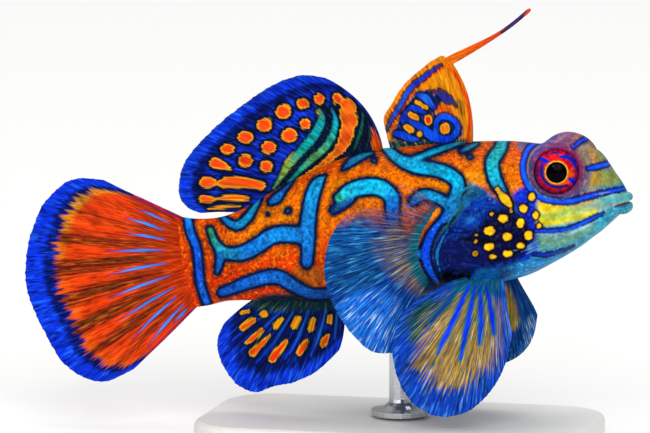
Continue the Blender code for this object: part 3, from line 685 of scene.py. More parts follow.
BODY_BANDS = {
    "nape band": stroke(
        ((503, 137), (499, 149), (491, 162), (493, 178), (500, 192), (507, 203)),
        (1.2, 1.45, 1.55, 1.35, 0.7), "#10889C", "#14A0A8", "#1098C0", "#0A5CC8"),
    "nape dash": stroke(((461, 151.5), (468, 148), (476, 144)), (0.5, 0.75, 0.45), "#0A6494", TEAL),
    "shoulder band": stroke(
        ((386, 148), (398, 159), (415, 167), (435, 170), (450, 176), (457, 184), (455, 194), (451, 207),
         (446, 218)),
        (1.0, 1.5, 1.6, 1.6, 1.3, 1.2), "#0A8CB8", CYAN, "#00A0D0", "#0C84BC", "#0A58B4"),
    "shoulder branch": stroke(((413, 160), (430, 153), (450, 146), (464, 141)), (0.8, 0.8, 0.6), CYAN, TEAL),
    "shoulder dot": spot(469, 157.5, 0.26, "#3C6050", 0.2),
    "back dash": stroke(
        ((343, 169.5), (350, 163), (360, 157), (372, 153)), (0.3, 0.9, 0.9, 0.4), "#0A3C88", "#0C88A8"),
    "back dot": spot(374, 161, 0.26, "#1C6450"),
    "rear back dash": stroke(
        ((271, 202), (277, 198), (285, 189), (293, 180)), (0.7, 1.1, 0.6, 0.3), "#0A6CB8", "#0A50A8"),
    "tail stalk hook": stroke(
        ((223, 218), (231, 224), (239, 225), (248, 217), (256, 205), (260, 198)),
        (0.7, 1.0, 1.1, 0.8, 0.4), "#0A6CB8", "#0E8CB0"),
    "rear dot": spot(288, 211, 0.32, "#24583C"),
    "rear dots": spot(268, 214, 0.14, "#30502C"),
    "middle band": stroke(
        ((325, 176), (318, 183), (313, 194), (310, 208), (308, 225), (308, 245), (307, 262)),
        (0.3, 1.3, 1.6, 1.65, 1.7, 1.5, 1.3), "#0A84B0", "#0C8CD0", "#0C78CC", "#0A5CBC"),
    "middle branch": stroke(
        ((303, 236), (288, 234), (272, 236), (257, 246), (242, 253), (227, 253), (216, 244), (210, 230)),
        (1.7, 1.9, 1.8, 1.8, 1.7, 1.3, 1.0, 0.8), "#0A70C8", "#0C7CD0", "#0A6CC8", "#1888A8", "#2C9848"),
    "middle branch end": stroke(((221, 254), (219, 264), (217, 272)), (1.0, 0.9, 0.6), "#0A60C0"),
    "tail stalk band": stroke(
        ((186, 205), (187, 216), (190, 232), (196, 247), (198, 262), (199, 275), (201, 288), (206, 302)),
        (0.9, 1.0, 1.0, 1.0, 1.0, 1.0), "#0A86D4", "#0A50E0", "#0A54C0"),
    "belly band": stroke(
        ((222, 292.5), (234, 288), (250, 282), (268, 277), (281, 278), (294, 286), (312, 294), (335, 293)),
        (1.1, 1.3, 1.5, 1.6, 1.5, 1.3, 1.3), "#0848B0", "#0A5CC0", "#083C88"),
    "arch over the pectoral": stroke(
        ((339, 198), (350, 191), (365, 187), (380, 188), (391, 197), (392, 210), (393, 228)),
        (1.2, 1.75, 1.9, 1.8, 1.6, 1.3), "#24B098", "#08B0E0", "#0CB4E0", "#0A74D8", "#0A64C8"),
    "arch tail": stroke(((350, 200), (343, 205), (334, 210)), (0.9, 0.9, 0.95), "#0A3C90", "#083488"),
    "wedge band": stroke(
        ((413, 201), (422, 195), (436, 198), (449, 206)), (1.1, 1.3, 1.1), "#0A5CB0", "#0C90C8", "#0A70B8"),
    "hidden rear band": stroke(
        ((360, 225), (350, 240), (352, 258), (365, 272), (385, 280), (405, 284)),
        (1.3, 1.6, 1.6, 1.4), "#0A60B8"),
    "hidden middle band": stroke(((395, 235), (405, 248), (418, 254)), (1.2, 1.4, 1.0), "#0A60B8"),
    "lobe of the pectoral": stroke(
        ((444, 216), (431, 233), (425, 251), (428, 268), (437, 282)), (0.5, 1.0, 1.1, 1.0, 0.6),
        "#0A54D0", "#0644E8", "#0A5CD8"),
}
lay(skin, "band", at, BODY_BANDS.values())

FACE_LINES = {
    "round the eye": stroke(
        ((535, 142), (525.5, 151), (521, 166), (523.5, 180), (531, 192), (545, 200), (566, 201.5),
         (583, 197.5), (599, 193.5), (614, 190.5), (626, 188)),
        (0.5, 0.62, 0.62, 0.6, 0.35), "#0A3CE8", "#1048F0", "#0C30D8", "#1044F0"),
    "snout line": stroke(((586, 169), (595, 167), (605, 164.5)), (0.5, 0.62, 0.5), "#0C30D8", "#0A54F0"),
    "brow line": stroke(((571, 147), (578, 142), (586, 137.5)), (0.5, 0.62, 0.55), "#0824D0", "#1060F8"),
    "under the cheek": stroke(
        ((534, 230.5), (550, 231), (568, 228.5), (584, 221.5), (594, 216.5), (601, 213)),
        (0.45, 0.5, 0.45, 0.2), "#0A2CD0", "#0C48E4"),
    "chin line": stroke(
        ((531, 253.5), (543, 254.5), (555, 252), (572, 246)), (0.3, 0.35, 0.15), "#0828C0", "#0C48B0"),
    "wrinkle on the dark cheek": stroke(((446, 231), (456, 230), (472, 233.5)), (0.2, 0.35, 0.12), "#0C48D0"),
    "fold before the lobe": stroke(
        ((447, 229), (439, 244), (436, 257), (439, 271)), (0.2, 0.4, 0.4, 0.2), "#1074B4"),
}
lay(skin, "line", at, FACE_LINES.values(), merge=0.08)

PALE_LINES = {
    "rim of the eye dome": stroke(
        ((537, 147), (529, 155), (525.7, 166), (527, 180), (533, 190), (543, 197), (556, 199.5), (568, 197)),
        (0.1, 0.14, 0.14, 0.08), "#A89088", "#8CA4A8", "#607890"),
    "gill cover edge": stroke(
        ((438, 235), (445, 227), (450, 218), (457, 209), (459, 199), (462, 190), (470, 186.5)),
        (0.08, 0.2, 0.26, 0.22, 0.08), "#0C5C88", "#289488", "#107C98", "#289088"),
    "gill cover front": stroke(
        ((479, 185), (484, 188), (487, 194), (488.5, 200)), (0.06, 0.14, 0.06), "#A88C80", "#98A8A0"),
    "rim of the pore": stroke(
        ((466, 194), (471, 191.5), (476, 193)), (0.06, 0.1, 0.06), "#8C90A0", "#5CA0A8"),
    "mouth corner": stroke(
        ((607, 206), (617, 204.5), (629, 203)), (0.1, 0.3, 0.2), "#B08088", "#B84858", "#A04860"),
    "under the blue chin line": stroke(
        ((535, 233.6), (551, 234), (568, 231.8), (585, 225), (597, 219.5)),
        (0.1, 0.22, 0.22, 0.08), "#9CC8D0", "#A8D4D8"),
}


def brushed(seed, count, centre, spread, run, *colours):
    """Short seeded strokes round a photo place, all drawn roughly one way, as slime lies on skin: streaks of
    skin colour, and pale painted highlights on the slime.
    """
    draw = np.random.default_rng(seed)
    strokes = []
    for i in range(count):
        start = np.array(centre) + draw.normal(0, 1, 2) * spread
        end = start + np.array(run) * draw.uniform(0.5, 1.4)
        middle = (start + end) / 2 + draw.normal(0, 0.8, 2)
        widths = (0.04, draw.uniform(0.1, 0.22), 0.04)
        strokes.append(stroke((start, middle, end), widths, colours[i % len(colours)]))
    return strokes


# The pale strokes on the chin, the lime stripe and the front of the face are painted highlights on the wet
# slime; the darker ones are streaks of skin colour.
SKIN_STREAKS_AND_PAINTED_SHEEN = (
    brushed(81, 26, (459, 212), (8, 12), (9, -5), "#1C70B8", "#0A3CA0", "#2C88B0", "#021C60")
    + brushed(82, 14, (456, 254), (10, 8), (14, 1), "#04105C", "#0A2C90", "#000828")
    + brushed(83, 26, (568, 246), (26, 6), (15, -6), "#5CB0C0", "#3C98B8", "#0A60A0", "#78B8B8")
    + brushed(84, 8, (610, 199), (9, 3), (11, -2), "#80C4C0", "#3CA4B0", "#A8B4B4")
    + brushed(85, 10, (563, 213), (13, 3), (15, -1.5), "#D8DC58", "#98B858", "#C4DC98")
    + brushed(86, 16, (560, 140), (12, 4), (8, 1), "#A86C80", "#503C80", "#A08090", "#2C5C94")
    + brushed(87, 18, (490, 284), (40, 5), (16, -3), "#0A64B0", "#0A3C88", "#1C80A8")
)
lay(skin, "pale", at, [*PALE_LINES.values(), *SKIN_STREAKS_AND_PAINTED_SHEEN], merge=0.06)

# The yellow spots' places, and their radii across and up.
CHEEK_SPOTS = (
    (487.9, 230.7, 0.64, 0.52), (501.5, 218.7, 0.6, 0.46), (518.4, 223, 0.48, 0.54),
    (505.4, 236.6, 0.52, 0.46), (487.4, 246.3, 0.6, 0.4), (505.9, 253.3, 0.6, 0.36),
    (518.7, 245.6, 0.46, 0.36), (526.4, 235.3, 0.48, 0.54), (521.5, 208.4, 0.46, 0.46),
    (529.7, 196.9, 0.4, 0.48), (533.5, 215.2, 0.36, 0.48), (537, 225.5, 0.3, 0.3),
    (491.3, 256.3, 0.44, 0.26),
)
SMALL_SPOTS = {
    "olive one": spot(474, 253.2, 0.34, "#9C7C14", 0.28),
    "pale one": spot(474.1, 241.5, 0.2, "#70903C"),
    "palest one": spot(475, 234.8, 0.16, "#4C9070"),
    "lime one": spot(490, 213.6, 0.22, "#A8A828"),
    "pink one": spot(509.2, 211.3, 0.18, "#D07858"),
    "long one": stroke(
        ((495, 189), (499, 194), (503.5, 199.5), (509, 207)), (0.4, 0.6, 1.0, 0.3),
        "#88A424", "#E8B814", "#FFD020"),
}
spots = [spot(x, y, wide, YELLOW, high) for x, y, wide, high in CHEEK_SPOTS]
lay(skin, "spot", at, spots + list(SMALL_SPOTS.values()), merge=0.06)


# Skin of a scaleless reef fish: dense pigment cells under a thin, clear slime. To the eye it is
# saturated, peppered with darker and paler cells a third of a millimetre across, and moist.
# The glints are partly paler pigment cells and partly painted highlights of light on the wet slime.
def pigmented(name, layers, grain=0.3, peppering=0.25, ragged=0.04, streaked=False, veiled=False):
    """A material for skin or fin: the ground with its flecks and glints, then layers of marks.

    Each layer names its marks and says how speckled they are. Its rings of colour follow from the
    outside in: how many millimetres outside the marks' edge each one starts, over how many it fades
    in, its colour, or None for the marks' own, and how well it covers what is under it. A streaked
    skin has its grain drawn out along the fin rays.
    """
    made, tree, shader = new_material(name)

    names = ["ground", "fleck", "glint", "across", "along"] if streaked else ["ground", "fleck", "glint"]
    names += ["veil"] if veiled else []
    names += [marks + ending for marks, *_ in layers for ending in ("", "_colour")]
    kept = {stored: add(tree, "ShaderNodeAttribute", attribute_name=stored).outputs for stored in names}
    if streaked:
        shares = {"X": kept["across"]["Fac"], "Y": kept["along"]["Fac"]}
        field, scale = add(tree, "ShaderNodeCombineXYZ", shares).outputs["Vector"], 1.0
    else:
        field, scale = add(tree, "ShaderNodeTexCoord").outputs["Object"], 1 / (grain * MM)
    noises = []
    for fineness, detail, roughness in ((1.0, 4.0, 0.6), (0.7, 3.0, 0.5), (0.3, 2.0, 0.5)):
        settings = {"Vector": field, "Scale": scale * fineness, "Detail": detail, "Roughness": roughness}
        noises.append(add(tree, "ShaderNodeTexNoise", settings).outputs["Fac"])
    fine, cells, broad = noises

    # Each use takes a noise between two levels of its own to two levels that the use needs.
    span_sockets = ("Value", "From Min", "From Max", "To Min", "To Max")
    turned = {}
    for use, *span in (
        ("shift", cells, 0.3, 0.7, -ragged, ragged),
        ("flecks", fine, 0.46, 0.62, 0.0, 1.0),
        ("glints", cells, 0.54, 0.66, 0.0, 0.85),
        ("peppering", broad, 0.3, 0.7, 1 - peppering, 1 + peppering),
        ("gloss", cells, 0.3, 0.7, 0.3, 0.5),
    ):
        turned[use] = add(tree, "ShaderNodeMapRange", zip(span_sockets, span)).outputs["Result"]
    colour = kept["ground"]["Color"]
    for use, above in (("flecks", "fleck"), ("glints", "glint")):
        settings = {0: turned[use], 6: colour, 7: kept[above]["Color"]}
        colour = add(tree, "ShaderNodeMix", settings, data_type="RGBA").outputs[2]
    for marks, speckle, *rings in layers:
        settings = {0: kept[marks]["Fac"], 1: turned["shift"]}
        edge = add(tree, "ShaderNodeMath", settings, operation="ADD").outputs[0]
        span = cells, 0.35, 0.65, 1 - speckle, 1 + speckle
        shade = add(tree, "ShaderNodeMapRange", zip(span_sockets, span)).outputs["Result"]
        settings = {0: 1.0, 6: kept[marks + "_colour"]["Color"], 7: shade}
        own = add(tree, "ShaderNodeMix", settings, data_type="RGBA", blend_type="MULTIPLY").outputs[2]
        span = fine, 0.58, 0.7, 0.0, speckle
        pale = add(tree, "ShaderNodeMapRange", zip(span_sockets, span)).outputs["Result"]
        settings = {0: pale, 6: own, 7: linear("#50C4E8")}
        own = add(tree, "ShaderNodeMix", settings, data_type="RGBA").outputs[2]
        for start, fade, hue, cover in rings:
            settings = zip(span_sockets, (edge, start - fade, start, cover, 0.0))
            share = add(tree, "ShaderNodeMapRange", settings, interpolation_type="SMOOTHSTEP")
            settings = {0: share.outputs["Result"], 6: colour, 7: linear(hue) if hue else own}
            colour = add(tree, "ShaderNodeMix", settings, data_type="RGBA").outputs[2]
    settings = {0: 1.0, 6: colour, 7: turned["peppering"]}
    colour = add(tree, "ShaderNodeMix", settings, data_type="RGBA", blend_type="MULTIPLY").outputs[2]
    tree.links.new(colour, shader.inputs["Base Color"])
    tree.links.new(turned["gloss"], shader.inputs["Roughness"])
    bump = add(tree, "ShaderNodeBump", {"Height": fine, "Strength": 0.4, "Distance": 0.00004})
    tree.links.new(bump.outputs["Normal"], shader.inputs["Normal"])
    shader.inputs["Specular IOR Level"].default_value = 0.04
    if veiled:
        tree.links.new(kept["veil"]["Fac"], shader.inputs["Alpha"])
    return made


hide_finish = pigmented("scaleless fish skin", (
    ("band", 0.5, (0.6, 0.45, OLIVE, 0.75), (0.28, 0.2, NAVY, 1.0), (-0.02, 0.3, None, 1.0)),
    # The line marks' innermost, brighter blue ring is a painted highlight along their middle.
    ("line", 0.15, (0.3, 0.26, "#020C50", 0.95), (0.02, 0.16, None, 1.0), (-0.12, 0.14, "#1468F0", 0.7)),
    ("pale", 0.0, (0.08, 0.16, None, 0.6)),
    ("spot", 0.0, (0.34, 0.26, INK, 0.95), (0.06, 0.12, "#D88C10", 1.0), (-0.02, 0.14, None, 1.0)),
), ragged=0.07, peppering=0.3)
skin.data.materials.append(hide_finish)
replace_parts(skin, "head", "trunk", "tail_stalk")
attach(skin, "root")


# The eyes: firm round balls set in the domes, seen whole but for their rims. The iris is red with
# blue arcs, the pupil is black inside a thin gold ring, and a clear wet cornea covers them.
PUPIL_RADIUS, GOLD_RADIUS, IRIS_EDGE = 1.17, 1.28, 2.3
IRIS_FIELDS = {
    "crimson top": (
        ((536, 160), (544, 150), (558, 147), (572, 152), (574, 160), (560, 160), (546, 162)), "#F01420", 0.5),
    "purple rear": (
        ((530, 160), (534, 158), (537, 168), (536, 180), (542, 190), (534, 188), (529, 174)), "#581C54", 0.5),
    "purple foot": (
        ((538, 186), (550, 192), (566, 192), (574, 188), (570, 196), (550, 198), (538, 194)), "#7C1438", 0.5),
    "lilac front": (
        ((576, 152), (582, 162), (583, 178), (577, 186), (579, 172), (576, 160)), "#90506C", 0.5),
    "orange glow": (
        ((546, 184), (557, 188), (569, 182), (572, 170), (567, 170), (562, 180), (552, 184), (546, 178)),
        "#F04810", 0.4),
}
IRIS_ARCS = {
    "upper arc": stroke(
        ((557.5, 157.5), (564.5, 157.5), (570, 161.5), (573, 167.5)), (0.3, 0.52, 0.5, 0.3), "#0820B8"),
    "front arc": stroke(((575, 168), (577, 174), (575.5, 179)), (0.25, 0.4, 0.15), "#101478"),
    "top arc": stroke(((546, 155), (552, 153.5), (558, 153)), (0.14, 0.28, 0.14), "#381C80"),
    "rear break": stroke(((537.5, 159), (542, 161), (547.5, 164.5)), (0.4, 0.56, 0.4), "#0A28C8"),
    "rear arc": stroke(
        ((540, 165), (539.2, 171.5), (541.5, 179), (547.5, 184.8), (556, 187.3), (565, 185.5)),
        (0.3, 0.48, 0.46, 0.42, 0.24), "#101C98", "#0C1878", "#180C58"),
    "inner rear arc": stroke(((544, 167.5), (543.6, 173), (546, 178.5)), (0.1, 0.22, 0.1), "#4C1050"),
    "front break": stroke(((567, 179.5), (571, 182), (575, 186)), (0.4, 0.64, 0.4), "#0820B8"),
}

# The eye's finish is that of wet, clear horn over pigment: dark, deep colour and two sharp glints.
wet_eye, tree, shader = new_material("wet fish eye")
colour = add(tree, "ShaderNodeAttribute", attribute_name="iris")
place = add(tree, "ShaderNodeTexCoord")
grain = add(tree, "ShaderNodeTexNoise", {"Vector": place.outputs["Object"], "Scale": 4000.0, "Detail": 3.0})
settings = {"Value": grain.outputs["Fac"], "From Min": 0.3, "From Max": 0.7, "To Min": 0.6, "To Max": 1.3}
tone = add(tree, "ShaderNodeMapRange", settings)
factors = {0: 1.0, 6: colour.outputs["Color"], 7: tone.outputs["Result"]}
shown = add(tree, "ShaderNodeMix", factors, data_type="RGBA", blend_type="MULTIPLY")
tree.links.new(shown.outputs[2], shader.inputs["Base Color"])
shader.inputs["Roughness"].default_value = 0.3
shader.inputs["Specular IOR Level"].default_value = 0.0
shader.inputs["Coat Weight"].default_value = 0.07
shader.inputs["Coat Roughness"].default_value = 0.03

for side, word in ((-1, "right"), (1, "left")):
    bpy.ops.object.select_all(action="DESELECT")
    bpy.ops.mesh.primitive_uv_sphere_add(segments=160, ring_count=120, radius=1.0)
    eyeball = bpy.context.object
    eyeball.name = "eyeball_" + word
    ball = vertex_places(eyeball)
    axis = EYE_AXIS * (1, side, 1)
    sideways = np.cross((0, 0, 1.0), axis)
    sideways /= np.linalg.norm(sideways)
    upright = np.cross(axis, sideways)
    off_axis = np.hypot(ball[:, 0], ball[:, 1]) * EYE_RADIUS
    front = ball[:, 2] > 0
    ring = 0.05 * np.exp(-((off_axis - GOLD_RADIUS + 0.08) / 0.12) ** 2)
    lifted = np.where(front, ring - 0.05 * ease((PUPIL_RADIUS - off_axis) / 0.3), 0)
    places = ball * (EYE_RADIUS + lifted)[:, None]
    centre = np.array(EYE_AT) * (1, side, 1) + axis * EYE_STANDS_OUT
    places = centre + places @ np.array((sideways, upright, axis))
    put_vertices(eyeball, places)
    at = seen_from_right(places)
    iris = np.repeat([linear("#C40C24")], len(ball), 0)
    for outline, hue, soft in IRIS_FIELDS.values():
        iris = blend(iris, hue, within(at, patch(outline, hue), soft))
    around = np.arctan2(ball[:, 1], ball[:, 0])
    edge = off_axis + 0.18 * sway(around * 6, 91) + 0.08 * sway(around * 17, 93)
    iris = blend(iris, "#44284C", 0.85 * ease((edge - IRIS_EDGE) / 0.5))
    iris = blend(iris, "#5C0820", 0.7 * ease(sway(around * 9, 92) * 1.2) * ease((edge - 1.5) / 0.4))
    iris = blend(iris, "#3C1C6C", 0.6 * ease(sway(around * 13, 94) * 1.4) * ease((edge - 1.9) / 0.3))
    for arc in IRIS_ARCS.values():
        iris = blend(iris, mark_distance(at, arc)[1], within(at, arc, 0.16))
    iris = blend(iris, "#F05010", ease((GOLD_RADIUS + 0.22 - off_axis) / 0.2) * front * 0.8)
    gold_edge = GOLD_RADIUS + 0.025 * sway(around * 8, 95)
    iris = blend(iris, "#F8B424", ease((gold_edge - off_axis) / 0.05 + 0.5) * front)
    iris = blend(iris, "#000002", ease((PUPIL_RADIUS - off_axis) / 0.05 + 0.5) * front)
    store(eyeball, "iris", iris)
    bpy.ops.object.shade_smooth()
    eyeball.data.materials.append(wet_eye)
    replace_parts(eyeball, "eye_" + word)
    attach(eyeball, "root")


# The first dorsal fin: a tall sail on four thin spines over the shoulders. Its membrane is thin
# skin, and its rays are fine ridges that fork towards the edge.
ROOT_SINK = 1.2
MEMBRANE_THICK = 0.16
RAY_WIDTH, RAY_NARROWS_BY = 0.13, 0.06
EDGE_SCALLOP = 0.004
STREAK_BREADTH, STREAK_LENGTH = 0.22, 1.6


def forked_rays(share, height, rays, forks):
    """How far each place on a fin stands on a ray, from 0 to 1, where rays fork at given heights."""
    phase = share * (rays - 1)
    off = abs(phase - np.round(phase))
    width = RAY_WIDTH - RAY_NARROWS_BY * height
    for fork in forks:
        spread = ease((height - fork) / (1.15 - fork))
        gap = 0.5 ** (forks.index(fork) + 2)
        off = abs(off - gap * spread)
        width = width * (1 - 0.35 * spread)
    return np.exp(-(off / width) ** 2)


def fin_sheet(name, root, margin, bows, rays, grid, forks=(0.35, 0.65), ray_thick=(0.42, 0.12), fleshy=0.0):
    """A fin as a fine grid between its root and margin paths, not yet thick.

    bows holds the points that pull the first and last ray out of line. The object comes back with
    its vertices' places in millimetres, their shares along and up the fin, and each ray's length.
    """
    bpy.ops.object.select_all(action="DESELECT")
    bpy.ops.mesh.primitive_grid_add(x_subdivisions=grid[0], y_subdivisions=grid[1], size=1.0)
    piece = bpy.context.object
    piece.name = name
    flat = vertex_places(piece)
    share, height = flat[:, 0] + 0.5, flat[:, 1] + 0.5
    start, end = root(share), margin(share)
    ends = np.array((0.0, 1.0))
    pulls = np.array(bows) - (root(ends) + margin(ends)) / 2
    bow = (start + end) / 2 + pulls[0] * (1 - share[:, None]) ** 2 + pulls[1] * share[:, None] ** 2
    on_ray = forked_rays(share, height, rays, forks)
    at_edge = forked_rays(share, np.ones_like(share), rays, forks)
    reach = height * (1 - EDGE_SCALLOP * (1 - at_edge + 0.5 * sway(share * 40, len(name))) * height ** 4)
    t = reach[:, None]
    places = start * (1 - t) ** 2 + bow * 2 * t * (1 - t) + end * t ** 2
    put_vertices(piece, places)
    length = np.linalg.norm(end - start, axis=1)
    ridge = ray_thick[0] + (ray_thick[1] - ray_thick[0]) * height
    thick = MEMBRANE_THICK + on_ray * ridge * ease(height / 0.16)
    thick += fleshy * (1 - ease((height - 0.02) / 0.16)) * ease(7 * share) * ease(7 * (1 - share))
    thick *= 1 - 0.5 * ease((height - 0.93) / 0.07)
    group = piece.vertex_groups.new(name="thickness")
    for i, value in enumerate(thick / thick.max()):
        group.add((i,), float(value), "REPLACE")
    piece["thickest"] = float(thick.max())
    breadth = np.linalg.norm(np.diff(margin(np.linspace(0, 1, 60)), axis=0), axis=1).sum()
    store(piece, "across", share * breadth / STREAK_BREADTH)
    store(piece, "along", height * length / STREAK_LENGTH)
    return piece, places, share, height, length, on_ray


def finish_fin(piece, finish, slot, *nodes):
    """A fin sheet made thick, given its finish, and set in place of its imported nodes."""
    thicken = piece.modifiers.new("thickness", "SOLIDIFY")
    thicken.thickness = piece["thickest"] * MM
    thicken.offset = 0.0
    thicken.vertex_group = "thickness"
    bpy.context.view_layer.objects.active = piece
    bpy.ops.object.modifier_apply(modifier=thicken.name)
    face_outwards(piece)
    bpy.ops.object.shade_smooth()
    del piece["thickest"]
    piece.data.materials.append(finish)
    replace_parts(piece, *nodes)
    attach(piece, "root")


def leaning(outline, wave):
    """A path through (x, z) points whose y is a function of the share along it."""
    line = path(outline)

    def placed(share):
        x, z = line(share).T
        return np.column_stack((x, wave(share), z))

    return placed


def body_root(front_x, rear_x, line, sink):
    """A fin's root along the back (line 0) or belly (line 1), raised or lowered into the body."""

    def placed(share):
        x = front_x + (rear_x - front_x) * share
        return np.column_stack((x, 0 * x, body_section(x)[line] + sink))

    return placed


def tinted(shares, *colours):
    """Colours blended evenly along shares 0 to 1."""
    stops = np.linspace(0, 1, len(colours))
    hues = np.array([linear(colour) for colour in colours])
    return np.column_stack([np.interp(shares, stops, hues[:, i]) for i in range(4)])


def plain(at, *hues):
    """Ground, fleck and glint colours that are the same all over a fin."""
    return [np.repeat([linear(hue)], len(at), 0) for hue in hues]


def over(colours, share, *hues):
    """Ground, fleck and glint colours laid over others by a share from 0 to 1 at each place."""
    return [blend(below, hue, share) for below, hue in zip(colours, hues)]


sail, places, share, height, length, on_ray = fin_sheet(
    "first_dorsal_sail",
    body_root(8.2, -0.7, 0, -ROOT_SINK),
    leaning(
        ((5.9, 43.2), (4.7, 43.9), (2.5, 42.4), (0.4, 40.4), (-0.9, 38.3), (-1.8, 36.7), (-1.5, 35.0)),
        lambda share: -0.5 * np.sin(math.pi * share),
    ),
    ((8.8, 0, 39.4), (-1.4, 0, 34.6)),
    4, (160, 120), forks=(0.5,), ray_thick=(0.5, 0.25),
)
at = seen(places)
colours = plain(at, "#E48808", "#B86408", "#F0A818")
SAIL_SPINES = {
    "front spine": (
        ((449.5, 69), (456.5, 78), (463, 90.8), (467.4, 103), (469.3, 114), (469.3, 126), (467.4, 141)),
        (0.45, 0.5), "#EC4A06"),
    "rear spine": (
        ((444, 67), (432, 75), (421, 84), (411, 94), (405, 104), (398, 116), (392, 128)),
        (0.34, 0.3), "#F04C06"),
    "hem": (((436, 61), (420, 72), (406, 84), (397, 100), (390, 112), (384, 124)), (0.3, 0.3), "#F07C0C"),
}
for points, widths, hue in SAIL_SPINES.values():
    colours = over(colours, within(at, stroke(points, widths, hue), 0.2), hue, "#A83404", "#F89818")
SAIL_FIELDS = {
    "dark pattern": (
        ((403, 112), (411, 98), (421, 91), (432, 92), (441, 99), (441, 108), (434, 112), (438, 116),
         (448, 115), (458, 121), (462, 131), (457, 141), (436, 142), (412, 142), (393, 140), (394, 131),
         (399, 121)),
        "#001458", "#142808", "#0834B8", 0.5),
    "red wedge": (
        ((436, 105), (446, 106), (455, 114), (446, 114), (437, 111)), "#E86008", "#903804", "#F8A010", 0.4),
    "dark base": (
        ((388, 141), (415, 141), (462, 139), (463, 144), (420, 148), (390, 149)),
        "#103C44", "#101C10", "#3C9478", 0.5),
    "dark specks": (
        ((458, 98), (461, 104), (463, 114), (459, 113), (456, 104)), "#7C5410", "#183008", "#D89018", 0.7),
}
paint(sail, zoned(at, colours, SAIL_FIELDS, 0.1 * sway(share * 70, 19) + 0.1 * sway(height * 60, 20)))
SAIL_BLUES = {
    "along the rear spine": stroke(
        ((441, 65.5), (433, 70.4), (423.4, 78), (413.2, 85.7), (406.8, 93.4), (401.7, 103), (396, 112.5),
         (390, 122), (387.3, 130.4)),
        (0.15, 0.5, 0.6, 0.56, 0.5, 0.2), "#0A28C0", "#0A34D0", "#0A48D0", "#1030B0"),
    "upper blot": stroke(
        ((418, 95), (426, 99), (433, 107)), (0.6, 1.0, 0.7), "#0838D0", "#2070F4", "#0430C8"),
    "front dash": stroke(((433, 91.5), (441, 97), (448, 103)), (0.2, 0.42, 0.25), "#1830B0"),
    "second dash": stroke(
        ((439, 90), (446, 95.5), (452, 101.5), (456, 107)), (0.2, 0.36, 0.4, 0.15), "#28289C"),
    "middle blot": stroke(((411, 107.5), (416, 109), (424, 112.5)), (0.6, 0.8, 0.6), "#0430C8"),
    "rear blot": stroke(((408, 110), (404, 117), (403, 122)), (0.5, 0.7, 0.5), "#0428B8"),
    "long blot": stroke(
        ((407, 120), (415, 124), (423, 129), (431, 136), (441, 139), (450, 138.5), (456, 133)),
        (0.5, 0.85, 0.95, 1.1, 1.0, 0.8, 0.6), "#0420A8", "#0840E0", "#0A50F0", "#0434D8", "#0840D8"),
    "loop": stroke(
        ((456, 133), (457, 126), (450, 118.5), (441.5, 117), (436.5, 122), (436, 131)),
        (0.7, 0.7, 0.85, 0.7, 0.7), "#0438D8", "#0A48E0", "#0434D0"),
    "lower blot": stroke(
        ((396, 134), (403, 135), (409, 138), (418, 139.5)), (0.7, 1.0, 0.9, 0.4), "#0438D8", "#0A4CE8"),
}
lay(sail, "band", at, SAIL_BLUES.values(), merge=0.14)
SAIL_SPOTS = {
    "upper": stroke(((416.5, 102.5), (426, 108)), (0.42, 0.42), "#E87408"),
    "rear": stroke(((410.5, 115), (416, 118)), (0.62, 0.56), "#E87808"),
    "star": spot(428.2, 120, 0.46, "#F03004", 0.56),
    "lower rear": stroke(((406.5, 127), (411.5, 130)), (0.6, 0.6), "#E88008"),
    "lower": spot(419.3, 134.2, 0.32, "#F8B810"),
    "front": spot(444.8, 128.4, 0.56, "#EC7808", 0.62),
}
lay(sail, "spot", at, SAIL_SPOTS.values(), merge=0.1)
fin_finish = pigmented("orange fin skin", (
    ("band", 0.3, (0.28, 0.24, "#000A24", 0.9), (0.02, 0.2, None, 1.0)),
    ("spot", 0.1, (0.26, 0.2, "#142808", 0.9), (0.08, 0.14, "#F0A018", 1.0), (-0.06, 0.2, None, 1.0)),
), streaked=True, ragged=0.1)
finish_fin(sail, fin_finish, "fin_orange", "first_dorsal_fin")


# The filament: the free tip of the first dorsal spine, a soft whip that bends forward over the head.
FILAMENT_LINE = (
    (5.0, 0, 43.0), (8.1, -0.1, 44.7), (10.6, -0.25, 46.15), (12.7, -0.4, 47.6), (15.0, -0.6, 49.55),
)
FILAMENT_RADIUS, FILAMENT_THINS_BY = 0.45, 0.26
TIP_SHARE, ROOT_SHARE = 0.03, 0.01
FILAMENT_STRIPE = stroke(
    ((501, 33.5), (509, 27.5), (516, 21), (522.5, 13)), (0.1, 0.26, 0.3, 0.2), "#0C2C9C", "#0A34B8")
bpy.ops.object.select_all(action="DESELECT")
bpy.ops.mesh.primitive_uv_sphere_add(segments=32, ring_count=120, radius=1.0)
filament = bpy.context.object
filament.name = "dorsal_filament"
unit = vertex_places(filament)
run = np.arccos(np.clip(unit[:, 2], -1, 1)) / math.pi
line = path(FILAMENT_LINE)
spine = line(run)
ahead = line(np.minimum(run + 0.01, 1)) - line(np.maximum(run - 0.01, 0))
ahead /= np.linalg.norm(ahead, axis=1)[:, None]
above = np.cross(ahead, (0, 1.0, 0))
ring = np.maximum(np.hypot(unit[:, 0], unit[:, 1]), 1e-9)
closing = np.sqrt(np.clip(1 - np.maximum(run - 1 + TIP_SHARE, 0) ** 2 / TIP_SHARE ** 2, 0, 1))
thick = (FILAMENT_RADIUS - FILAMENT_THINS_BY * ease(run * 1.6)) * closing * np.minimum(run / ROOT_SHARE, 1)
turned = np.column_stack((unit[:, 0] / ring, unit[:, 1] / ring))
places = spine + thick[:, None] * (turned[:, :1] * above * 1.15 + turned[:, 1:] * np.array((0, 0.85, 0)))
put_vertices(filament, places)
face_outwards(filament)
bpy.ops.object.shade_smooth()
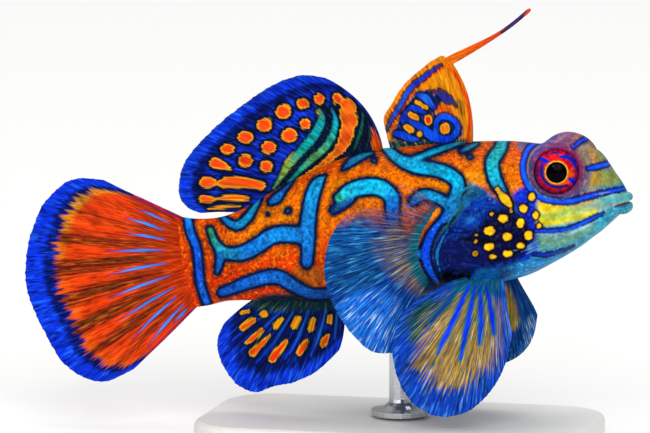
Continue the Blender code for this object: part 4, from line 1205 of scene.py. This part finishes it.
paint(filament, (
    tinted(ease(run * 2), "#F07008", "#EC6008", "#E44410"),
    tinted(ease(run * 2), "#B04C08", "#B03C08", "#A42C10"),
    tinted(ease(run * 2), "#F89818", "#F88018", "#F46018"),
))
lay(filament, "band", seen(places), (FILAMENT_STRIPE,))
store(filament, "spot", np.full(len(places), BEYOND))
store(filament, "spot_colour", np.repeat([linear(ORANGE)], len(places), 0))
store(filament, "across", turned[:, 0] * 3)
store(filament, "along", run * 12)
filament.data.materials.append(fin_finish)
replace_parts(filament, "first_dorsal_filament")
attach(filament, "root")


# The second dorsal fin: long and high over the rear of the back, on nine branched rays. It is blue
# with dark-ringed orange spots, and a band of blue-green lenses along its front.
second, places, share, height, length, on_ray = fin_sheet(
    "second_dorsal",
    body_root(-1.8, -16.7, 0, -ROOT_SINK),
    leaning(
        ((-8.6, 41.0), (-11.2, 41.15), (-13.6, 40.4), (-16.0, 39.1), (-18.2, 37.5), (-20.3, 35.85),
         (-22.2, 34.1), (-23.9, 32.2), (-25.0, 30.5), (-25.4, 28.5), (-25.2, 26.9), (-24.2, 25.8),
         (-22.7, 25.3)),
        lambda share: 0.9 * np.sin(5.0 * share - 0.4),
    ),
    ((-2.6, 0, 38.4), (-20.1, 0, 25.5)),
    9, (280, 150),
)
at = seen(places)
from_edge = (1 - height) * length
colours = plain(at, "#0828B8", "#00072C", "#1448E0")
rim = ease((1.7 + 0.15 * sway(share * 90, 21) - from_edge) / 0.5)
colours = over(colours, rim, "#0432D4", "#001470", "#1C5CF0")
colours = over(colours, 0.5 * ease((0.4 - from_edge) / 0.3), "#1848A0", "#04246C", "#2C68C0")
deep = ease((from_edge - 1.3 - 0.15 * sway(share * 90, 22)) / 0.5) * (1 - ease((from_edge - 2.3) / 0.8))
colours = over(colours, 0.85 * deep, "#000A44", "#000420", "#0428A0")
DORSAL_FIELDS = {
    "shade of the lenses": (
        ((318, 104), (334, 106), (348, 104), (362, 106), (372, 118), (380, 140), (380, 152), (350, 164),
         (318, 178), (290, 192), (266, 197), (276, 180), (296, 152), (312, 128)),
        "#02103C", "#00060C", "#083C58", 0.6),
    "front strip": (
        ((370, 128), (376, 134), (384, 146), (386, 154), (374, 156), (372, 144)),
        "#E04C08", "#903004", "#F0901C", 0.4),
}
paint(second, zoned(at, colours, DORSAL_FIELDS, 0.12 * sway(share * 160, 23)))
RED_SPOT = "#F04408"
DORSAL_SPOTS = (
    (337.5, 98.9, 0.5, 0.58), (319.8, 98.9, 0.54, 0.56), (303, 103.3, 0.64, 0.58),
    (283.7, 111.6, 0.82, 0.74), (264.7, 124.5, 0.8, 0.74), (245.4, 137.2, 0.8, 0.66),
    (227.5, 148.8, 0.74, 0.52), (305.6, 124, 0.54, 0.56), (289.4, 135, 0.82, 0.74),
    (269, 147, 0.76, 0.68), (245.7, 160.6, 0.74, 0.68), (266.4, 166.3, 0.68, 0.64),
)
DORSAL_BARS = {
    "drop": stroke(((215, 163.5), (221, 165), (231, 169)), (1.1, 0.85, 0.1), RED_SPOT),
    "long bar": stroke(
        ((205, 182), (211, 183), (220, 184), (229, 182), (246, 182.5), (261, 186)),
        (1.1, 1.15, 0.3, 0.95, 1.1, 1.05, 0.9), RED_SPOT, "#F05408", RED_SPOT),
    "short bar": stroke(
        ((203, 198.5), (209, 199.5), (217, 199), (226, 198), (236, 197.5), (248, 198.5)),
        (0.8, 0.7, 0.15, 0.5, 0.55, 0.2), "#EC4C08"),
    "lowest line": stroke(((209, 209), (224, 207), (240, 206)), (0.1, 0.24, 0.1), "#D87008"),
    "front bar": stroke(
        ((346, 103), (348.5, 108), (347, 114), (350, 120), (348.5, 127), (347.5, 133), (345, 139),
         (340, 150)),
        (0.9, 1.65, 1.3, 1.7, 1.35, 1.6, 1.2, 0.8),
        "#EC3C08", "#F07008", "#D84C08", "#F0680C", "#C8400C", "#E85808"),
    "under the lenses": stroke(
        ((347, 142), (336, 153), (322, 165), (306, 177), (290, 189)),
        (0.7, 0.75, 0.5, 0.42, 0.3), "#E05C08", "#C8580C"),
}
spots = [spot(x, y, wide, RED_SPOT, high) for x, y, wide, high in DORSAL_SPOTS]
lay(second, "spot", at, spots + list(DORSAL_BARS.values()), merge=0.12)
DORSAL_LENSES = {
    "first lens": stroke(
        ((319, 110), (322, 120), (316, 133), (306, 146), (295, 158), (286, 170), (274, 188)),
        (0.6, 1.1, 1.25, 1.1, 1.0, 0.5), "#509850", "#10A0A8", "#109CA0", "#209C88", "#80A840", "#308C60"),
    "second lens": stroke(
        ((332, 108), (336, 122), (333, 136), (324, 149), (310, 161), (298, 173), (282, 190)),
        (0.4, 0.95, 1.1, 1.0, 0.8, 0.4), "#0C70B0", "#10A0B0", "#24A088", "#50A060", "#18A088", "#107C90"),
    "yellow by the lens": stroke(
        ((293, 152), (287, 161), (282, 171)), (0.2, 0.5, 0.2), "#E8B818", "#B8C020"),
    "yellow at its top": spot(318, 113, 0.32, "#E0C018"),
    "leaf line": stroke(
        ((363, 112), (362, 125), (358, 140), (353, 152)), (0.3, 0.6, 0.6, 0.3), "#0C6464", "#0C5C34"),
    "second leaf line": stroke(((368, 120), (370, 134), (366, 150)), (0.2, 0.36, 0.2), "#0C4C84", "#0C5C50"),
}
lay(second, "band", at, DORSAL_LENSES.values(), merge=0.1)
blue_fin_finish = pigmented("blue fin skin", (
    ("band", 0.55, (0.3, 0.36, "#000820", 0.9), (0.0, 0.3, None, 0.95)),
    ("spot", 0.12, (0.55, 0.25, "#000624", 0.95), (0.2, 0.16, "#1C3C10", 0.85), (0.12, 0.14, "#E89418", 0.95),
     (-0.02, 0.2, None, 1.0)),
), streaked=True, ragged=0.15, peppering=0.4)
finish_fin(second, blue_fin_finish, "fin_orange", "second_dorsal_fin")


# The anal fin: a fan of eight rays under the rear of the belly, blue with two rows of orange spots
# and pale blue lines between the rays.
anal, places, share, height, length, on_ray = fin_sheet(
    "anal_fan",
    body_root(-6.8, -15.0, 1, ROOT_SINK),
    leaning(
        ((-7.0, 10.2), (-9.4, 7.85), (-12.0, 6.5), (-14.3, 5.95), (-16.6, 5.15), (-19.0, 6.15), (-20.75, 8.6),
         (-21.15, 10.7), (-20.5, 12.5)),
        lambda share: -0.8 * np.sin(4.5 * share),
    ),
    ((-5.8, 0, 13.0), (-17.9, 0, 15.2)),
    8, (240, 120),
)
at = seen(places)
from_edge = (1 - height) * length
inner = ease((from_edge - 1.4 - 0.35 * sway(share * 60, 31)) / 1.3)
colours = plain(at, "#0838E0", "#001484", "#2470F4")
colours = over(colours, inner, "#021458", "#000A2C", "#0834B8")
ANAL_FIELDS = {
    "green root": (
        ((250, 302), (280, 298), (310, 298), (340, 300), (342, 306), (322, 310), (290, 311), (262, 311)),
        "#083848", "#03182C", "#5C7820", 0.7),
}
paint(anal, zoned(at, colours, ANAL_FIELDS, 0.15 * sway(share * 140, 32)))
ANAL_LINES = (
    (((272.5, 311.5), (258, 320), (245.7, 330), (232, 341)), "#0C58C8", "#0838E8"),
    (((285, 308.4), (267, 324.5), (252, 340), (240, 352)), "#0C58C8", "#0838E8"),
    (((293, 312), (282, 330), (272.5, 345), (256.4, 363)), "#0C60C0", "#0838E8"),
    (((309, 311), (302, 328), (295.7, 343), (285, 359)), "#1068C0", "#0C44E8"),
    (((326, 310), (322, 326), (316.3, 343), (311, 356)), "#1474B0", "#0C48E0"),
    (((337, 313), (336, 326), (335, 339)), "#1478A8", "#0C4CE0"),
)
lines = [stroke(points, (0.12, 0.26, 0.26, 0.1), *hues) for points, *hues in ANAL_LINES]
lay(anal, "band", at, lines, merge=0.1)
ANAL_SPOTS = (
    (((242, 313), (248, 311.5)), (0.35, 0.35), "#C87410"),
    (((263, 314.5), (265, 314)), (0.6, 0.6), "#F0900C"),
    (((282, 319), (276, 326)), (0.4, 0.7), "#F09808"),
    (((298, 319), (294.5, 326)), (0.7, 0.7), "#F09408"),
    (((313.5, 320), (311, 329)), (0.5, 0.6), "#F08C08"),
    (((330, 317), (329, 322)), (0.5, 0.5), "#E8700C"),
    (((253, 321), (243, 328)), (0.7, 0.65), "#E04C08"),
    (((261, 330), (255, 337), (247, 343)), (0.4, 0.6, 0.3), "#E84408"),
    (((270, 336), (261, 345), (253, 353)), (0.2, 0.6, 0.85), "#E84808"),
    (((286.5, 342), (279, 351), (272.5, 359)), (0.4, 0.8, 0.85), "#E43408"),
    (((307, 341), (303, 348), (299.5, 353)), (0.4, 0.7, 0.6), "#E83C08"),
    (((328, 336), (325, 341), (323, 345)), (0.4, 0.6, 0.4), "#E04408"),
)
spots = [stroke(points, widths, hue) for points, widths, hue in ANAL_SPOTS]
lay(anal, "spot", at, spots, merge=0.1)
anal_finish = pigmented("blue fin skin with pale lines", (
    ("band", 0.2, (0.1, 0.2, None, 0.85)),
    ("spot", 0.0, (0.45, 0.35, "#000624", 0.9), (0.16, 0.12, "#3C5C10", 0.9), (0.08, 0.12, "#E8A018", 1.0),
     (0.0, 0.2, None, 1.0)),
), streaked=True, ragged=0.14, peppering=0.35)
finish_fin(anal, anal_finish, "fin_blue", "anal_fin")


# The tail fin: a large rounded fan of ten branched rays. Its middle is red-brown with orange lines
# and blue streaks along the rays, and its edge is a broad band of blue.
TAIL_ROOT_RISE, TAIL_ROOT_HEIGHT = 3.9, 8.6
stalk_end = np.array((-24.3, 0.0, TAIL_HINGE_Z))
rearwards = np.array((-math.cos(TAIL_TILT), 0.0, -math.sin(TAIL_TILT)))
upwards = np.array((-math.sin(TAIL_TILT), 0.0, math.cos(TAIL_TILT)))


def tail_root(share):
    """The tail fin's root, sunk into the slanted end of the tail stalk."""
    return stalk_end - rearwards * ROOT_SINK + upwards * (TAIL_ROOT_RISE - TAIL_ROOT_HEIGHT * share[:, None])


tail, places, share, height, length, on_ray = fin_sheet(
    "tail_fan",
    tail_root,
    leaning(
        ((-34.3, 28.5), (-38.2, 28.2), (-41.5, 25.3), (-43.2, 20.7), (-43.2, 16.0), (-41.2, 11.6),
         (-38.3, 7.3), (-34.4, 5.6), (-30.9, 7.0)),
        lambda share: 1.1 * np.sin(6.5 * share),
    ),
    ((-29.8, 0, 26.4), (-27.5, 0, 10.3)),
    10, (320, 150), fleshy=0.5,
)
at = seen(places)
from_edge = (1 - height) * length
RIM_BREADTHS = (
    (0, 4.4), (0.06, 3.6), (0.15, 3.0), (0.3, 3.4), (0.5, 3.9),
    (0.65, 3.8), (0.8, 3.2), (0.92, 3.0), (1, 3.8),
)
rim_breadth = smooth_path(RIM_BREADTHS, share)[:, 0]
mottle = np.clip(0.5 + 0.5 * sway(share * 90 + 2 * height, 41), 0, 1)
colours = [
    tinted(mottle, "#6C1C08", "#8C2C08", "#5C3810"),
    tinted(mottle, "#380C08", "#301408"),
    tinted(mottle, "#D83C08", "#B86C18"),
]
colours = over(colours, 0.9 * ease((0.34 - height) / 0.26), "#D03404", "#7C1404", "#F05C0C")
tongues = 0.4 * sway(share * 110, 43) + 0.35 * sway(share * 260, 46)
TAIL_STREAKS = (
    ((168, 222), (152, 214.5), (136, 208), (92, 188)),
    ((163.5, 230), (144, 223), (124, 217.5), (68, 201)),
    ((163.5, 239.5), (144, 236), (124, 233), (60, 221)),
    ((163.5, 250.5), (135, 250.5), (106, 251.5), (50, 252)),
    ((166, 263.3), (136, 268.5), (106, 275.3), (54, 288)),
    ((169.3, 275.8), (137, 287), (106, 299.6), (62, 320)),
    ((174, 287.4), (145, 304), (115, 322.8), (78, 348)),
    ((175.6, 297.3), (153, 317.5), (131, 340), (102, 364)),
    ((183, 304.3), (165, 324), (146, 347), (128, 368)),
    ((186.7, 309), (180, 316), (172.8, 323), (156, 343)),
)
STREAK_TIPS = ("#E8901C", "#F0A024", "#E08414", "#F07410", "#F45C08")
for i, streak in enumerate(TAIL_STREAKS):
    flank = stroke(streak, (0.3, 0.8, 1.2, 2.3), "#E84006")
    share_in = within(at, flank, 0.9, 0.25 * sway(share * 200, 47))
    hues = tinted(ease((rim_breadth + 2.2 - from_edge) / 1.8), "#F04006", "#F44C08", STREAK_TIPS[min(i, 4)])
    colours = over(colours, 0.95 * share_in, hues, hues * 0.45, lighter(hues))
rim = ease((rim_breadth + tongues - from_edge + 0.35) / 0.7)
inner_rim = ease((from_edge - 0.5 * rim_breadth - 0.4 * tongues) / 0.8)
rim_hues = over(plain(at, "#0634E0", "#00147C", "#1C60F4"), inner_rim, "#001468", "#000630", "#0834C0")
colours = over(colours, rim, *rim_hues)
colours = over(colours, ease((0.045 - share) / 0.03) * (1 - rim), "#B41448", "#5C1060", "#E03C60")
colours = over(colours, ease((share - 0.955) / 0.03) * (1 - rim), "#A81C40", "#500C50", "#D84048")
paint(tail, colours)
shadows = [stroke(streak[:3], (0.2, 0.5, 0.1), "#401048", "#501858") for streak in TAIL_STREAKS]
lay(tail, "band", at, shadows, merge=0.08)
blues = [stroke(streak[:3], (0.16, 0.32, 0.05), "#1470E0", "#2490F4", "#7C3C90") for streak in TAIL_STREAKS]
lay(tail, "spot", at, blues, merge=0.06)
tail_finish = pigmented("tail fin skin", (
    ("band", 0.0, (0.1, 0.14, None, 0.6)),
    ("spot", 0.1, (0.03, 0.12, None, 0.95)),
), streaked=True, ragged=0.05, peppering=0.35)
finish_fin(tail, tail_finish, "fin_orange", "caudal_fin")


# The pectoral fins: two broad fans of many fine, forking rays behind the gills, each on a fleshy
# lobe. Their membrane is so thin that the body's pattern shows through it near the top.
def pectoral_root(share):
    """The pectoral's base line on the right flank, sunk into the skin."""
    x, z = path(PECTORAL_BASE)(share).T
    return np.column_stack((x, PECTORAL_SINK - flank_y(x, z), z))


def other_side(source, name, node):
    """The other side's fin, copied from the right one and set in place of its own node."""
    bpy.ops.object.select_all(action="DESELECT")
    source.select_set(True)
    bpy.context.view_layer.objects.active = source
    bpy.ops.object.duplicate()
    copy = bpy.context.object
    copy.name = name
    put_vertices(copy, vertex_places(copy) * (1, -1, 1) / MM)
    face_outwards(copy)
    # The copy brings the right fin's list of replaced nodes with it, so it starts again with none.
    copy["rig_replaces"] = []
    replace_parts(copy, node)
    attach(copy, "root")
    return copy


pectoral, places, share, height, length, on_ray = fin_sheet(
    "pectoral_fan_right",
    pectoral_root,
    leaning(
        ((2.2, 30.75), (-1.9, 28.8), (-5.1, 25.3), (-6.1, 21.2), (-5.2, 17.3), (-3.3, 14.0), (-1.2, 11.8),
         (0.9, 11.4)),
        lambda share: 1.4 * share - 8.8 - 2.4 * np.sin(math.pi * share),
    ),
    ((5.1, -8.0, 29.5), (2.4, -7.6, 16.8)),
    22, (420, 100), forks=(0.25, 0.6), ray_thick=(0.3, 0.1), fleshy=0.6,
)
at = seen(places)
PECTORAL_FIELDS = {
    "rear": (
        ((328, 232), (352, 224), (376, 232), (380, 262), (372, 292), (350, 300), (332, 286), (320, 258)),
        "#0A5CA8", "#02205C", "#44A8D8", 1.6),
    "upper rear": (
        ((338, 206), (366, 212), (378, 228), (360, 238), (336, 234), (328, 218)),
        "#1068B8", "#043070", "#3CA8D8", 1.2),
    "foot": (
        ((342, 296), (372, 288), (398, 300), (402, 330), (388, 352), (366, 354), (348, 336), (338, 312)),
        "#2088FC", "#0C48D0", "#C8F0FF", 1.6),
}
colours = zoned(at, plain(at, "#0A4CB4", "#02145C", "#48B8F8"), PECTORAL_FIELDS, 0.5 * sway(share * 120, 51))
PECTORAL_LINES = {
    "gold": (
        ((386, 228), (404, 222), (424, 232), (432, 262), (434, 290), (420, 296), (400, 282), (386, 258)),
        "#B48C18", "#4C5418", "#E8C84C", 1.5, 0.95),
    "brighter gold": (
        ((398, 260), (416, 262), (434, 284), (430, 296), (412, 286)),
        "#D8A820", "#6C5C18", "#F4DC80", 1.0, 0.9),
    "tan": (
        ((398, 188), (416, 188), (432, 204), (434, 228), (420, 236), (400, 232), (392, 212)),
        "#A86428", "#6C3C28", "#D89050", 1.5, 1.0),
    "mauve": (
        ((342, 202), (366, 197), (388, 206), (384, 228), (362, 224), (344, 218)),
        "#A86430", "#5C4040", "#C8A070", 1.5, 0.8),
    "gold behind the lobe": (
        ((404, 266), (414, 262), (426, 268), (430, 282), (418, 285), (406, 278)),
        "#D88C14", "#6C5414", "#F8C848", 0.8, 0.9),
    "rear gold": (
        ((370, 242), (384, 236), (402, 250), (412, 280), (398, 284), (380, 264)),
        "#A08C28", "#1C3C50", "#D8C45C", 1.2, 0.6),
}
lines = ease(0.65 + 0.8 * sway(share * 190, 52))
lines = lines * ease(1.1 + 0.7 * sway(height * 22 + 8 * sway(share * 60, 57), 56))
for outline, *hues, soft, cover in PECTORAL_LINES.values():
    colours = over(colours, cover * lines * within(at, patch(outline, hues[0]), soft), *hues)
colours = over(colours, 0.45 * (1 - on_ray) * (height > 0.05), "#02144C", "#010828", "#0A4CA8")
# Painted shade along the fin's root: a dark teal band beside the fleshy lobe, where the fin meets the body.
painted_root_shade = 1 - ease((height - 0.12 - 0.03 * sway(share * 60, 53)) / 0.08)
colours = over(colours, painted_root_shade, "#0C6078", "#0A3C44", "#2C9098")
paint(pectoral, colours)
PECTORAL_CLEAR = (
    (330, 198), (350, 186), (380, 180), (404, 178), (430, 196), (438, 220), (424, 238), (404, 236),
    (388, 222), (366, 218), (344, 224), (330, 214),
)
clear = within(at, patch(PECTORAL_CLEAR, NAVY), 3.0)
hairs = ease(0.25 + 0.9 * sway(share * 320, 54))
hairs = hairs * (1 - ease((height - 0.3 - 0.15 * sway(share * 90, 55)) / 0.5))
store(pectoral, "veil", 1 - clear * (1 - 0.7 * hairs) * ease((height - 0.12) / 0.1))
pectoral_finish = pigmented("thin pectoral skin", (), streaked=True, veiled=True)
finish_fin(pectoral, pectoral_finish, "fin_blue", "pectoral_fin_right")
other_side(pectoral, "pectoral_fan_left", "pectoral_fin_left")


# The pelvic fins: two large fans under the head that the fish walks on. Each of the few thick rays
# branches again and again, and blue streaks lie between wedges of buff and yellow.
PELVIC_HIP = np.array((11.3, -3.4, 20.3))
PELVIC_ROOT = 2.2
PELVIC_DROP = 15.7
FAR_PELVIC_LIFT, FAR_PELVIC_SWEEP, SWEEP_HEIGHT = 0.2, 0.4, 6.0


def pelvic_root(share):
    """The pelvic fin's short root under the throat."""
    return PELVIC_HIP + np.column_stack((PELVIC_ROOT * (share - 0.5), 0 * share, 0 * share))


pelvic, places, share, height, length, on_ray = fin_sheet(
    "pelvic_fan_right",
    pelvic_root,
    leaning(
        ((2.5, 16.4), (1.4, 12.8), (1.8, 9.0), (3.5, 6.1), (6.4, 4.6), (9.8, 5.4), (12.3, 7.9), (13.7, 10.8),
         (14.3, 13.8)),
        lambda share: 3.2 * share - 9.6,
    ),
    ((6.5, -8.3, 19.8), (13.2, -5.2, 17.6)),
    11, (300, 140), forks=(0.25, 0.55), fleshy=0.4,
)
at = seen(places)
PELVIC_FIELDS = {
    "olive": (
        ((410, 311), (425, 300), (440, 303), (428, 322), (420, 340), (408, 345), (404, 330)),
        "#1C5044", "#0A2C50", "#7C9048", 0.8),
    "lower rear": (
        ((396, 330), (410, 345), (424, 372), (446, 392), (470, 398), (450, 414), (420, 404), (400, 375)),
        "#0C48C8", "#042C94", "#5C94D8", 0.8),
    "gold": (
        ((452, 292), (470, 288), (492, 292), (499, 320), (497, 350), (490, 362), (477, 375), (462, 386),
         (446, 388), (436, 386), (424, 372), (413, 366), (418, 345), (428, 322), (440, 305)),
        "#B88A1C", "#3C5C5C", "#DCC880", 0.7),
    "root": (
        ((466, 266), (505, 266), (507, 290), (486, 296), (460, 292), (452, 284)),
        "#0A5C88", "#06305C", "#3094A0", 0.8),
}
stray = 0.8 * sway(share * 150, 62)
colours = zoned(at, plain(at, "#0A48C4", "#042074", "#3C8CE0"), PELVIC_FIELDS, stray)
between = ease(0.2 + 0.9 * sway(share * 170, 63)) * ease((height - 0.2) / 0.2)
colours = over(colours, 0.5 * between, "#0A3070", "#06204C", "#2468A8")
colours = over(colours, 0.8 * ease((share - 0.965) / 0.02), "#2C7CF0", "#0848C8", "#90D0F8")
paint(pelvic, colours)
PELVIC_STREAKS = (
    (((460, 283), (446, 302), (429, 320)), "#0C4490"),
    (((468, 284), (453, 318), (436.5, 352)), "#1030FF"),
    (((474, 285), (467, 322), (459.5, 358)), "#0838E8"),
    (((479, 285), (480, 315), (479, 343)), "#0838E0"),
    (((485, 284), (490, 308), (493, 333)), "#0830D8"),
)
streaks = [stroke(points, (0.4, 0.66, 0.7, 0.4), hue) for points, hue in PELVIC_STREAKS]
lay(pelvic, "band", at, streaks, merge=0.08)
pelvic_finish = pigmented(
    "pelvic fin skin", (("band", 0.2, (0.26, 0.26, "#0C6C54", 0.8), (0.02, 0.18, None, 1.0)),),
    streaked=True, ragged=0.12, peppering=0.35,
)
finish_fin(pelvic, pelvic_finish, "fin_blue", "pelvic_fin_right")

# The left fin is held a little higher. Its outer face is marked like the right one's, and its inner
# face, which the photograph shows, is darker.
far_pelvic = other_side(pelvic, "pelvic_fan_left", "pelvic_fin_left")
places = vertex_places(far_pelvic) / MM
below = np.maximum(PELVIC_HIP[2] - places[:, 2], 0)
places[:, 2] += FAR_PELVIC_LIFT * below ** 3 / PELVIC_DROP ** 2
places[:, 0] += FAR_PELVIC_SWEEP * (PELVIC_HIP[0] - places[:, 0]) * (1 - ease(below / SWEEP_HEIGHT))
put_vertices(far_pelvic, places)
at = seen(places)
FAR_PELVIC_FIELDS = {
    "gold": (
        ((498, 284), (508, 288), (516, 306), (518, 326), (508, 330), (500, 312)),
        "#A88418", "#3C5C48", "#D8B040", 0.9),
    "cream": (
        ((528, 318), (538, 322), (541, 342), (534, 360), (516, 368), (512, 360), (524, 346)),
        "#2C70B8", "#0C3C84", "#D8D8B8", 0.9),
}
colours = zoned(at, plain(at, "#0A3C8C", "#03184C", "#1C88A0"), FAR_PELVIC_FIELDS)
normals = np.empty(3 * len(places))
far_pelvic.data.vertices.foreach_get("normal", normals)
inner_face = normals[1::3] < 0
for name, colour in zip(("ground", "fleck", "glint"), colours):
    outer = np.empty(4 * len(places), np.float32)
    far_pelvic.data.attributes[name].data.foreach_get("color", outer)
    store(far_pelvic, name, np.where(inner_face[:, None], colour, outer.reshape(-1, 4)))
streaks = np.empty(len(places), np.float32)
far_pelvic.data.attributes["band"].data.foreach_get("value", streaks)
store(far_pelvic, "band", np.where(inner_face, BEYOND, streaks))
